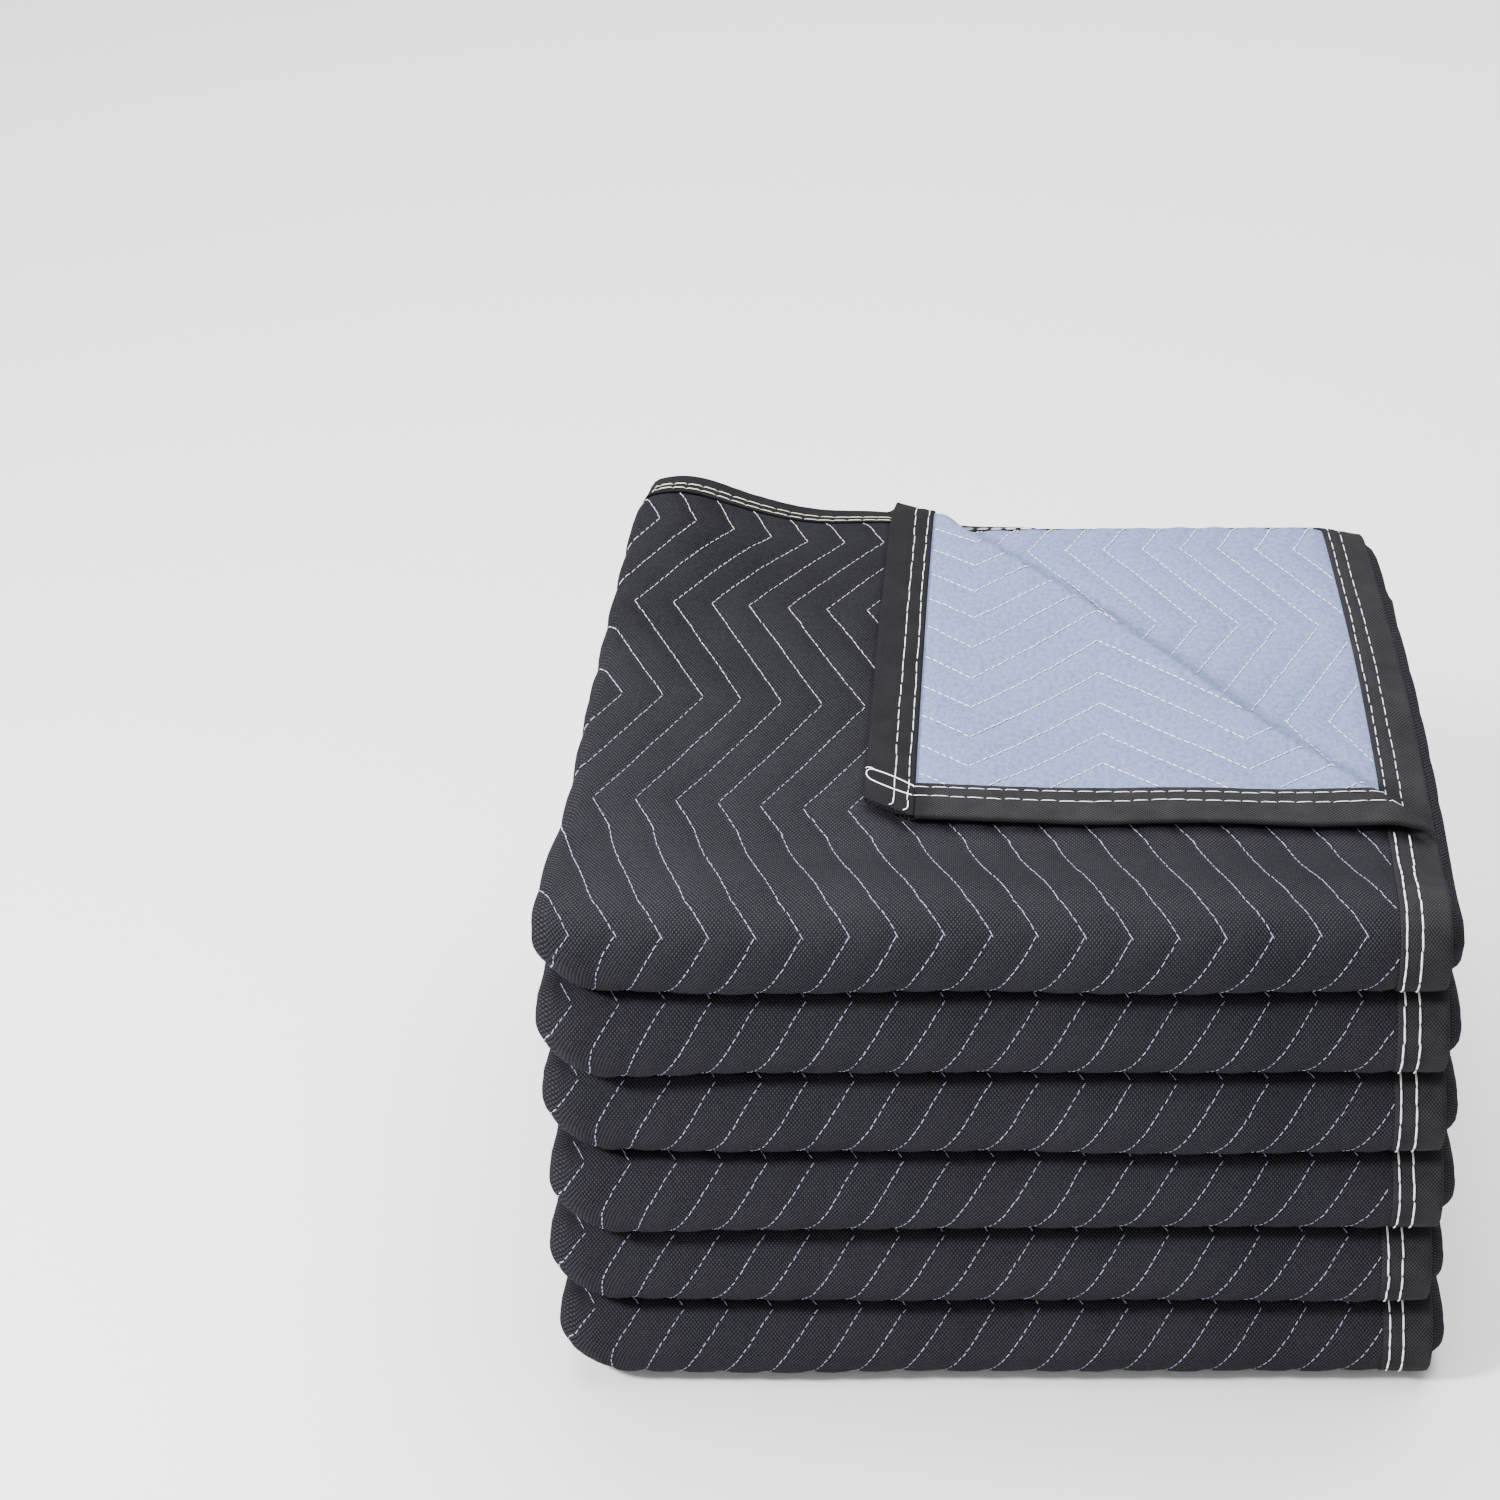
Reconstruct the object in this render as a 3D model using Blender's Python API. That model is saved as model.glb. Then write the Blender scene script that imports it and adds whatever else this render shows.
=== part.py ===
"""A stack of six folded moving blankets, the top one with a corner turned back.

Each blanket is one quilted cloth with a strip of binding tape sewn round each of its four edges.
The pieces are drawn flat, in cloth coordinates: u across the width, from the edge that ends at
the right of the stack, v along the length, from the end that lies on top at the back, and o
through the thickness from its middle, with the dark face at +o and the blue one at -o. They are
scored where the cloth bends and along its quilting. Then every point is folded as the real
blanket is: in half along the length, in three across the width, and in half along the length
again, which makes the thick round nose at the front.

Metres, +Z up, the noses towards -Y.
"""

import math
from collections import namedtuple

import bmesh
import bpy
import numpy as np
from mathutils import Vector

# The blanket laid flat: cut at 72 by 80 inches, and a little shorter once quilted
WIDTH = 1.829
LENGTH = 2.000
PLY = 0.0042
HEMMED_PLY = 0.0014
TAPE = 0.0009
TAPE_WIDTH = 0.035
CLEARANCE = 0.0003
HEM_SLOPE = 0.0075

# The chevron quilting: lines that run along the blanket and swing from side to side
LINE_SPACING = 0.031
SWING = 0.068
HALF_WAVE = 0.110
FIRST_ROW = 0.069
LAST_ROW = 0.075
LINE_AT = 0.0263
STITCH_DEPTH = 0.0012

# The folded blanket
PACKET_WIDTH = 0.621
PANEL_WIDTH = 0.610
PACKET_HEIGHT = 0.0735
LAYERS = 12
LAYER = PACKET_HEIGHT / LAYERS
TOP_RUN = 0.490
NOSE_REACH = 0.030
NOSE_ARC = 0.0980
NOSE_FACETS = 3
RIDGE_FACETS = 3
TAPER = 0.015
DROOP = 0.45
DROOP_ARC = 0.016

# The corner of the top blanket that is turned back
CORNER = 0.405
ROLL_RADIUS = 0.0045
ROLL_RADIUS_FRONT = 0.0075
ROLL_SETTLES_IN = 0.060
UNDER_FLAP = 0.03
FLAP_LOFT = 0.0020

# Surface colours and finish: red, green, blue, roughness
Finish = namedtuple("Finish", "name colour roughness")
DARK_FACE = Finish("dark face", (0.042, 0.042, 0.051), 0.85)
BLUE_FACE = Finish("blue face", (0.397, 0.451, 0.604), 0.95)
BINDING = Finish("binding tape", (0.038, 0.038, 0.038), 0.80)

# How each blanket lies in the stack, from the floor up: metres to the right and to the back,
# degrees of turn, and how much wider than the top one it has spread on each side
Lay = namedtuple("Lay", "name right back turn spread")
STACK = (
    Lay("blanket_1", 0.000, -0.004, 0.15, 0.012),
    Lay("blanket_2", -0.002, -0.002, -0.25, 0.010),
    Lay("blanket_3", 0.001, -0.003, 0.20, 0.008),
    Lay("blanket_4", 0.001, -0.001, -0.15, 0.006),
    Lay("blanket_5", -0.001, -0.001, 0.30, 0.003),
    Lay("blanket_6", 0.000, 0.000, 0.00, 0.000),
)

# How the upper half of the top blanket swells and sinks: at each distance from its back edge,
# how far its sides are drawn in, and the rise at the left ridge, at the three places between
# and at the right ridge
Level = namedtuple("Level", "distance drawn_in left near_left middle near_right right")
LEVELS = (
    Level(0.000, 0.018, 0.012, 0.007, 0.001, 0.001, 0.000),
    Level(0.0588, 0.012, 0.016, 0.010, 0.003, 0.003, 0.001),
    Level(0.179, 0.003, 0.016, 0.012, 0.007, 0.006, 0.002),
    Level(0.289, 0.000, 0.013, 0.012, 0.009, 0.007, 0.003),
    Level(0.399, 0.000, 0.008, 0.010, 0.008, 0.007, 0.003),
    Level(0.490, 0.000, 0.000, 0.000, 0.000, 0.000, 0.000),
)
SWELL_PLACES = (0.150, 0.290, 0.430)
# At the same five places, how far its back edge is drawn forward, and the angle at which the
# upper half hangs over the back
BACK_PULL = (0.000, 0.006, 0.010, 0.004, 0.000)
BACK_DROOP = (0.43, 0.43, 0.45, 0.47, 0.47)

# Lengths that follow from those above
MIDDLE = LENGTH / 2
HEM_EDGE = TAPE + CLEARANCE + 0.0005
HEM_INNER = TAPE_WIDTH + CLEARANCE
HEM_END = HEM_INNER + HEM_SLOPE
LEFT_RIDGE_X = 1.5 * LAYER + PLY / 2 + 0.0002
RIGHT_RIDGE_X = PACKET_WIDTH - LEFT_RIDGE_X
RIDGE_ARC = math.pi * LAYER
LEFT_FOLD = PANEL_WIDTH - LEFT_RIDGE_X
RIGHT_FOLD = LEFT_FOLD + RIDGE_ARC + RIGHT_RIDGE_X - LEFT_RIDGE_X
TURN_ARC = math.pi * LAYER / 2
NOSE_END = TOP_RUN + NOSE_ARC
NOSE_ROW = FIRST_ROW + 4 * HALF_WAVE
SWELL_X = (LEFT_RIDGE_X, *SWELL_PLACES, RIGHT_RIDGE_X)
DEPTH = NOSE_REACH + TOP_RUN
DROOP_START = HEM_END + DROOP_ARC
ROLL_ARC = math.pi * ROLL_RADIUS
SNAP = 0.0004


def smooth(t):
    """0 to 1, easing in and out."""
    t = min(max(t, 0.0), 1.0)
    return t * t * (3 - 2 * t)


def between(start, end, count):
    """Evenly spaced places strictly between start and end."""
    return [start + (end - start) * k / (count + 1) for k in range(1, count + 1)]


def zigzag_rows():
    """Where along the cloth the stitch lines turn back, every second of them pointing right.

    The wave is a little longer in the hidden middle, so that both visible ends keep their place.
    """
    front = [FIRST_ROW + HALF_WAVE * k for k in range(-1, 6)]
    back = [LENGTH - LAST_ROW - HALF_WAVE * k for k in range(4, -2, -1)]
    return front + between(front[-1], back[0], 7) + back


ROWS = zigzag_rows()


def swing(v):
    """How far the stitch lines have swung to the right at v."""
    return SWING * np.interp(v, ROWS, [k % 2 for k in range(len(ROWS))])


def line_number(u, v):
    """A whole number on a stitch line, and a half midway between two."""
    return (PANEL_WIDTH - LINE_AT + SWING - u - swing(v)) / LINE_SPACING


# Folding

def turn_corner(u, v, o):
    """Rolls the corner over the crease that runs across it. Returns u, v and the height."""
    past = (CORNER - u - v) / math.sqrt(2)
    if past <= 0:
        return u, v, o
    along = (u - v) / math.sqrt(2)
    front = smooth(-along / CORNER - 0.2)
    radius = ROLL_RADIUS + (ROLL_RADIUS_FRONT - ROLL_RADIUS) * front
    if past < ROLL_ARC:
        angle = math.pi * past / ROLL_ARC
        out = (radius - o) * math.sin(angle)
        height = radius - (radius - o) * math.cos(angle)
    else:
        out = ROLL_ARC - past
        drop = smooth((past - ROLL_ARC) / ROLL_SETTLES_IN)
        height = 2 * radius + (LAYER + FLAP_LOFT - 2 * radius) * drop - o
    total = CORNER - math.sqrt(2) * out
    difference = math.sqrt(2) * along
    return (total + difference) / 2, (total - difference) / 2, height


def fold_in_half(v, height):
    """Lays the two halves of the length dark side out. Returns the distance and the offset."""
    start, end = MIDDLE - TURN_ARC / 2, MIDDLE + TURN_ARC / 2
    offset = LAYER / 2 + height
    if v < start:
        return v, offset
    if v > end:
        return LENGTH - v, -offset
    angle = math.pi * (v - start) / TURN_ARC
    return start + offset * math.sin(angle), offset * math.cos(angle)


def fold_in_three(u, offset):
    """Folds the width in three. Returns x and the depth below the packet's outer face."""
    if u < LEFT_FOLD:
        return PANEL_WIDTH - u, LAYER - offset
    if u < LEFT_FOLD + RIDGE_ARC:
        angle = math.pi * (u - LEFT_FOLD) / RIDGE_ARC
        radius = LAYER + offset
        return LEFT_RIDGE_X - radius * math.sin(angle), 2 * LAYER - radius * math.cos(angle)
    if u < RIGHT_FOLD:
        return LEFT_RIDGE_X + u - LEFT_FOLD - RIDGE_ARC, 3 * LAYER + offset
    if u < RIGHT_FOLD + RIDGE_ARC:
        angle = math.pi * (u - RIGHT_FOLD) / RIDGE_ARC
        radius = LAYER - offset
        return RIGHT_RIDGE_X + radius * math.sin(angle), 4 * LAYER - radius * math.cos(angle)
    return RIGHT_RIDGE_X - (u - RIGHT_FOLD - RIDGE_ARC), 5 * LAYER - offset


def fold_nose(distance, depth, droop):
    """Folds the packet in half round its nose, its upper half hanging over at the back.

    Returns y and z.
    """
    radius = PACKET_HEIGHT / 2
    if distance > NOSE_END:
        return NOSE_REACH + distance - NOSE_END, depth
    if distance > TOP_RUN:
        angle = math.pi * (distance - TOP_RUN) / NOSE_ARC
        reach = NOSE_REACH * (1 - depth / radius)
        return NOSE_REACH - reach * math.sin(angle), radius + (radius - depth) * math.cos(angle)
    if distance > DROOP_START:
        return DEPTH - distance, PACKET_HEIGHT - depth
    past = DROOP_START - distance
    angle = droop * min(past / DROOP_ARC, 1)
    hanging = max(past - DROOP_ARC, 0)
    radius = DROOP_ARC / droop + 3 * LAYER - depth
    y = DEPTH - DROOP_START + radius * math.sin(angle) + hanging * math.cos(angle)
    fall = radius * (1 - math.cos(angle)) + hanging * math.sin(angle)
    return y, PACKET_HEIGHT - depth - fall


def settle(x, y, z, distance, depth):
    """The uneven upper half of the top blanket."""
    share = min(max(1 - depth / (PACKET_HEIGHT / 2), 0), 1)
    distances = [level.distance for level in LEVELS]
    rises = [np.interp(x, SWELL_X, level[2:]) for level in LEVELS]
    rise = np.interp(distance, distances, rises)
    drawn_in = np.interp(distance, distances, [level.drawn_in for level in LEVELS])
    pull = np.interp(x, SWELL_X, BACK_PULL) * max(1 - distance / LEVELS[2].distance, 0)
    middle = PACKET_WIDTH / 2
    x = middle + (x - middle) * (1 - 2 * drawn_in / PACKET_WIDTH)
    return x, y - pull * share, z + rise * share


def fold(point, lay):
    """Takes a point of the flat cloth to its place in the folded blanket."""
    u, v, height = point
    top = lay is STACK[-1]
    if top and v < MIDDLE:
        u, v, height = turn_corner(u, v, height)
    distance, offset = fold_in_half(v, height)
    x, depth = fold_in_three(u, offset)
    droop = np.interp(x, SWELL_X, BACK_DROOP) if top else DROOP
    y, z = fold_nose(distance, depth, droop)
    if top and distance < TOP_RUN:
        x, y, z = settle(x, y, z, distance, depth)
    spread = 1 + 2 * (lay.spread - TAPER * y / DEPTH) / PACKET_WIDTH
    return (x - PACKET_WIDTH / 2) * spread, y - DEPTH / 2, z


# Cutting out and scoring

def score(mesh, place, normal, geometry=None):
    """Adds points where a plane crosses the mesh, or only the given part of it."""
    if geometry is None:
        geometry = mesh.verts[:] + mesh.edges[:] + mesh.faces[:]
    cut = bmesh.ops.bisect_plane(mesh, geom=geometry, dist=SNAP, plane_co=place, plane_no=normal)
    return cut["geom"]


def score_folds(mesh, top):
    """Scores the cloth or a tape everywhere that it bends."""
    across = [HEM_END, WIDTH - HEM_END]
    for start in (LEFT_FOLD, RIGHT_FOLD):
        end = start + RIDGE_ARC
        across += [start, end] + between(start, end, RIDGE_FACETS - 1)
    if top:
        across += [PANEL_WIDTH - x for x in SWELL_PLACES]
        across += [LEFT_FOLD + RIDGE_ARC + x - LEFT_RIDGE_X for x in SWELL_PLACES]
        across += [RIGHT_FOLD + RIDGE_ARC + RIGHT_RIDGE_X - x for x in SWELL_PLACES]
    along = [MIDDLE - TURN_ARC / 2, MIDDLE, MIDDLE + TURN_ARC / 2]
    half = [HEM_END, DROOP_START, TOP_RUN, NOSE_ROW, NOSE_END]
    half += between(NOSE_ROW, NOSE_END, NOSE_FACETS - 1)
    if top:
        half += [level.distance for level in LEVELS[2:-1]]
    along += half + [LENGTH - place for place in half]
    for u in across:
        score(mesh, (u, 0, 0), (1, 0, 0))
    for v in along:
        score(mesh, (0, v, 0), (0, 1, 0))
    if top:
        score_crease(mesh)


def score_crease(mesh):
    """Scores the corner along its crease, and where it bends with the back edge that it lies on."""
    slope = Vector((1, 1, 0)).normalized()
    for past in (0, ROLL_ARC / 3, 2 * ROLL_ARC / 3, ROLL_ARC, ROLL_ARC + ROLL_SETTLES_IN / 2,
                 ROLL_ARC + ROLL_SETTLES_IN):
        near_end = [face for face in mesh.faces if face.calc_center_median().y < MIDDLE]
        reach = CORNER / math.sqrt(2) - past
        score(mesh, slope * reach, slope, with_borders(near_end))
    for distance in (HEM_END, DROOP_START):
        turned = []
        for face in mesh.faces:
            middle = face.calc_center_median()
            if middle.x + middle.y < CORNER:
                turned.append(face)
        score(mesh, (CORNER - distance, 0, 0), (1, 0, 0), with_borders(turned))


def with_borders(faces):
    """The faces with their edges and points, as one list."""
    geometry = set(faces)
    for face in faces:
        geometry.update(face.edges, face.verts)
    return list(geometry)


def quilt(mesh, side, inside, v_from, v_to):
    """Presses the chevron lines into one face of the cloth, where inside says so.

    Every row of the zigzag is cut along its slanting lines and midway between them, and the
    points sink by how near they are to a line.
    """
    edges = [v_from] + [row for row in ROWS if v_from < row < v_to] + [v_to]
    for low, high in zip(edges, edges[1:]):
        area = []
        for face in mesh.faces:
            middle = face.calc_center_median()
            if middle.z * side > 0 and v_from < middle.y < v_to and inside(middle.x, middle.y):
                area.append(face)
        geometry = with_borders(area)
        if high < v_to:
            geometry = score(mesh, (0, high, 0), (0, 1, 0), geometry)
        row = [face for face in geometry if isinstance(face, bmesh.types.BMFace)
               and low < face.calc_center_median().y < high]
        if not row:
            continue
        geometry = with_borders(row)
        across = [vert.co.x for vert in geometry if isinstance(vert, bmesh.types.BMVert)]
        first = math.floor(2 * min(line_number(max(across), v) for v in (low, high)))
        last = math.ceil(2 * max(line_number(min(across), v) for v in (low, high)))
        lean = swing(high) - swing(low)
        normal = Vector((high - low, lean, 0)).normalized()
        for half_line in range(first, last + 1):
            shift = line_number(0, low) - half_line / 2
            geometry = score(mesh, (shift * LINE_SPACING, low, 0), normal, geometry)
        for vert in geometry:
            if isinstance(vert, bmesh.types.BMVert):
                sunk = 1 - 2 * abs(line_number(vert.co.x, vert.co.y) % 1 - 0.5)
                vert.co.z = side * (PLY / 2 - STITCH_DEPTH * (1 - sunk))


def block(low, high):
    """A closed box between two corners."""
    mesh = bmesh.new()
    bmesh.ops.create_cube(mesh, size=1)
    size = Vector(high) - Vector(low)
    bmesh.ops.scale(mesh, vec=size, verts=mesh.verts)
    bmesh.ops.translate(mesh, vec=(Vector(high) + Vector(low)) / 2, verts=mesh.verts)
    return mesh


def quilted_cloth(top):
    """The flat quilted cloth, thinner inside its binding."""
    mesh = block((HEM_EDGE, HEM_EDGE, -PLY / 2), (WIDTH - HEM_EDGE, LENGTH - HEM_EDGE, PLY / 2))
    score_folds(mesh, top)
    for place in (HEM_INNER, WIDTH - HEM_INNER):
        score(mesh, (place, 0, 0), (1, 0, 0))
    for place in (HEM_INNER, LENGTH - HEM_INNER):
        score(mesh, (0, place, 0), (0, 1, 0))
    for vert in mesh.verts:
        u, v, o = vert.co
        if min(u, v, WIDTH - u, LENGTH - v) < HEM_INNER + SNAP:
            vert.co.z = math.copysign(HEMMED_PLY / 2, o)
    quilt_visible_faces(mesh, top)
    return mesh


def quilt_visible_faces(mesh, top):
    """Quilts the faces that show: every nose and, on the top blanket, all that lies open."""

    def front_panel(u, v):
        covered = top and u < CORNER and v < CORNER
        return HEM_END < u < LEFT_FOLD and not covered

    def turned_back(u, v):
        return u > HEM_END and u + v < CORNER - ROLL_ARC * math.sqrt(2)

    def laid_bare(u, v):
        return u > HEM_END and u + LENGTH - v < CORNER + UNDER_FLAP

    last_row = LEVELS[-2].distance
    nose_facet = (NOSE_END - NOSE_ROW) / NOSE_FACETS
    quilt(mesh, 1, front_panel, HEM_END if top else TOP_RUN, NOSE_END - nose_facet)
    if top:
        quilt(mesh, -1, turned_back, HEM_END, last_row)
        quilt(mesh, -1, laid_bare, LENGTH - last_row, LENGTH - HEM_END)


def tape_profile():
    """Half-open section of the folded tape: distance in from the edge, and height."""
    outer = PLY / 2
    inner = outer - TAPE
    web = HEM_EDGE - CLEARANCE
    return (
        (0, -outer), (TAPE_WIDTH, -outer), (TAPE_WIDTH, -inner), (web, -inner),
        (web, inner), (TAPE_WIDTH, inner), (TAPE_WIDTH, outer), (0, outer),
    )


def binding_strip(edge, top):
    """One flat strip of binding: the ends run the full width, and the sides fit between them."""
    start = 0 if edge in ("back", "under") else HEM_INNER
    end = WIDTH if edge in ("back", "under") else LENGTH - HEM_INNER

    def place(inward, run, height):
        if edge == "right":
            return inward, run, height
        if edge == "left":
            return WIDTH - inward, run, height
        if edge == "back":
            return run, inward, height
        return run, LENGTH - inward, height

    mesh = bmesh.new()
    loop = [mesh.verts.new(place(inward, start, height)) for inward, height in tape_profile()]
    cap = mesh.faces.new(loop)
    grown = bmesh.ops.extrude_face_region(mesh, geom=[cap], use_keep_orig=True)["geom"]
    moved = [vert for vert in grown if isinstance(vert, bmesh.types.BMVert)]
    shift = Vector(place(0, end, 0)) - Vector(place(0, start, 0))
    bmesh.ops.translate(mesh, vec=shift, verts=moved)
    score_folds(mesh, top)
    return mesh


# Putting the stack together

def material(finish):
    made = bpy.data.materials.new(finish.name)
    made.use_nodes = True
    shader = made.node_tree.nodes["Principled BSDF"]
    shader.inputs["Base Color"].default_value = (*finish.colour, 1)
    shader.inputs["Roughness"].default_value = finish.roughness
    shader.inputs["Metallic"].default_value = 0
    return made


def add_piece(name, mesh, lay, holder, materials):
    """Folds a flat piece and hangs it on its blanket's empty."""
    for face in mesh.faces:
        middle = face.calc_center_median()
        face.material_index = 1 if len(materials) > 1 and middle.z < 0 else 0
    bmesh.ops.triangulate(mesh, faces=[face for face in mesh.faces if len(face.verts) > 4])
    for vert in mesh.verts:
        vert.co = fold(vert.co, lay)
    bmesh.ops.recalc_face_normals(mesh, faces=mesh.faces)
    if mesh.calc_volume(signed=True) < 0:
        bmesh.ops.reverse_faces(mesh, faces=mesh.faces)
    data = bpy.data.meshes.new(name)
    mesh.to_mesh(data)
    mesh.free()
    for made in materials:
        data.materials.append(made)
    piece = bpy.data.objects.new(name, data)
    piece.parent = holder
    bpy.context.scene.collection.objects.link(piece)


def add_empty(name, parent=None):
    empty = bpy.data.objects.new(name, None)
    empty.parent = parent
    bpy.context.scene.collection.objects.link(empty)
    return empty


def centre_on_floor(stack):
    """Stands the stack on z = 0 with the middle of its footprint at the origin."""
    bpy.context.view_layer.update()
    corners = [
        piece.matrix_world @ vert.co
        for piece in bpy.data.objects if piece.type == "MESH" for vert in piece.data.vertices
    ]
    low = [min(corner[axis] for corner in corners) for axis in range(3)]
    high = [max(corner[axis] for corner in corners) for axis in range(3)]
    stack.location = (-(low[0] + high[0]) / 2, -(low[1] + high[1]) / 2, -low[2])


def main():
    for old in list(bpy.data.objects):
        bpy.data.objects.remove(old, do_unlink=True)
    dark, blue, binding = material(DARK_FACE), material(BLUE_FACE), material(BINDING)
    stack = add_empty("stack")
    for level, lay in enumerate(STACK):
        top = lay is STACK[-1]
        holder = add_empty(lay.name, stack)
        holder.location = (lay.right, lay.back, level * PACKET_HEIGHT)
        holder.rotation_euler = (0, 0, math.radians(lay.turn))
        add_piece(lay.name + "_cloth", quilted_cloth(top), lay, holder, (dark, blue))
        for edge in ("right", "left", "back", "under"):
            name = f"{lay.name}_binding_{edge}"
            add_piece(name, binding_strip(edge, top), lay, holder, (binding,))
    centre_on_floor(stack)


main()
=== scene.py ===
# %% [markdown]
# # A stack of folded moving blankets
#
# Six quilted blankets lie on each other, each folded three times. They are dark on one side and
# light blue on the other, quilted in long chevrons, and bound with tape. A corner of the top one
# is turned back. This lesson makes their cloth, tape and stitches over the plain solids of the
# frame, and lights them.

# %% Load the frame
import math
from collections import namedtuple

import bmesh
import bpy
import numpy as np
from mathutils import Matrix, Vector


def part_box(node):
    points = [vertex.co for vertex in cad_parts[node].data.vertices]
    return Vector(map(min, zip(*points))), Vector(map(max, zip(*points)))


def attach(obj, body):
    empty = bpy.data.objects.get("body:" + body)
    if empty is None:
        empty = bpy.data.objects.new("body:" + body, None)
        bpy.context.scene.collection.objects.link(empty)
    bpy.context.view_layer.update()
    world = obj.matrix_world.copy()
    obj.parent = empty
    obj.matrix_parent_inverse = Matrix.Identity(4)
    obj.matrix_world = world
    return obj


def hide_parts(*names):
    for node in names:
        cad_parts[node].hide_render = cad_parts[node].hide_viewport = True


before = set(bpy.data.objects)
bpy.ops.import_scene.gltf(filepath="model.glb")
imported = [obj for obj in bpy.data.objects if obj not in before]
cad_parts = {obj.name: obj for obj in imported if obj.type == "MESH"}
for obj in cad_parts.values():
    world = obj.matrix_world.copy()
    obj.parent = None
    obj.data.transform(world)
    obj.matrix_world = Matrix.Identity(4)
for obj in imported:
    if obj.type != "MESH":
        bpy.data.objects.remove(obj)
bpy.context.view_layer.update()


# %% [markdown]
# ## Sizes
#
# The cloth is drawn flat, in cloth coordinates: u across its width, from the edge that ends at
# the right of the stack, v along its length, from the end on top at the back, and a height over
# its middle, with the dark face up. A real blanket is cut, quilted and bound flat as well, and
# only then folded, so stitches and tape come out right wherever the folds carry them. The sizes
# are those of the solids.

# %% Flat blanket and quilting
WIDTH = 1.829
LENGTH = 2.000
PLY = 0.0042
TAPE = 0.0009
TAPE_WIDTH = 0.035
HEM_EDGE = 0.0017
HEM_INNER = 0.0353
HEM_END = 0.0428

LINE_SPACING = 0.031
SWING = 0.068
HALF_WAVE = 0.110
FIRST_ROW = 0.069
LAST_ROW = 0.075
LINE_AT = 0.0263
EDGES = ("right", "left", "back", "under")
print("flat blanket:", WIDTH, "by", LENGTH, "m")

# %% Folded blanket
PACKET_WIDTH = 0.621
PANEL_WIDTH = 0.610
PACKET_HEIGHT = 0.0735
LAYER = PACKET_HEIGHT / 12
TOP_RUN = 0.490
NOSE_REACH = 0.030
NOSE_ARC = 0.0980
TAPER = 0.015
DROOP = 0.45
DROOP_ARC = 0.016

CORNER = 0.405
ROLL_RADIUS = 0.0056
ROLL_RADIUS_FRONT = 0.0085
ROLL_SETTLES_IN = 0.060
FLAP_LOFT = 0.0020
FLAP_SWELL = 0.0009
FLAP_CURL = 0.0012

MIDDLE = LENGTH / 2
LEFT_RIDGE_X = 1.5 * LAYER + PLY / 2 + 0.0002
RIGHT_RIDGE_X = PACKET_WIDTH - LEFT_RIDGE_X
RIDGE_ARC = math.pi * LAYER
LEFT_FOLD = PANEL_WIDTH - LEFT_RIDGE_X
RIGHT_FOLD = LEFT_FOLD + RIDGE_ARC + RIGHT_RIDGE_X - LEFT_RIDGE_X
LEFT_END = LEFT_FOLD + RIDGE_ARC
RIGHT_END = RIGHT_FOLD + RIDGE_ARC
TURN_ARC = math.pi * LAYER / 2
TURN_START = MIDDLE - TURN_ARC / 2
TURN_END = MIDDLE + TURN_ARC / 2
NOSE_END = TOP_RUN + NOSE_ARC
NOSE_ROW = FIRST_ROW + 4 * HALF_WAVE
DEPTH = NOSE_REACH + TOP_RUN
DROOP_START = HEM_END + DROOP_ARC
ROLL_ARC = math.pi * ROLL_RADIUS
print("folded blanket:", PACKET_WIDTH, "by", DEPTH, "by", PACKET_HEIGHT, "m")

# %% How each blanket lies, and how the top one swells
Lay = namedtuple("Lay", "name right back turn spread")
STACK = (
    Lay("blanket_1", 0.000, -0.004, 0.15, 0.012),
    Lay("blanket_2", -0.002, -0.002, -0.25, 0.010),
    Lay("blanket_3", 0.001, -0.003, 0.20, 0.008),
    Lay("blanket_4", 0.001, -0.001, -0.15, 0.006),
    Lay("blanket_5", -0.001, -0.001, 0.30, 0.003),
    Lay("blanket_6", 0.000, 0.000, 0.00, 0.000),
)
TOP = STACK[-1]

Level = namedtuple("Level", "distance drawn_in left near_left middle near_right right")
LEVELS = (
    Level(0.000, 0.018, 0.012, 0.007, 0.001, 0.001, 0.000),
    Level(0.0588, 0.012, 0.016, 0.010, 0.003, 0.003, 0.001),
    Level(0.179, 0.003, 0.016, 0.012, 0.007, 0.006, 0.002),
    Level(0.289, 0.000, 0.013, 0.012, 0.009, 0.007, 0.003),
    Level(0.399, 0.000, 0.008, 0.010, 0.008, 0.007, 0.003),
    Level(0.490, 0.000, 0.000, 0.000, 0.000, 0.000, 0.000),
)
SWELL_X = (LEFT_RIDGE_X, 0.150, 0.290, 0.430, RIGHT_RIDGE_X)
BACK_PULL = (0.000, 0.006, 0.010, 0.004, 0.000)
BACK_DROOP = (0.24, 0.24, 0.48, 0.63, 0.62)
print(len(STACK), "blankets,", len(LEVELS), "levels of swell")

# %% [markdown]
# ## Small helpers
#
# Folds and swells have to be smooth where the solids have facets. So a table of heights is read
# with a curve through its rows, and what no table can hold, the unevenness of soft cloth, comes
# from a lattice of random heights with smooth steps between them. Each lattice has its own seed,
# so the blankets come out the same every time.

# %% Smooth steps, curves and unevenness
def smooth(t):
    """0 to 1, easing in and out."""
    t = np.clip(t, 0, 1)
    return t * t * (3 - 2 * t)


def between(start, end, count):
    """Evenly spaced places strictly between start and end."""
    return [start + (end - start) * k / (count + 1) for k in range(1, count + 1)]


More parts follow.
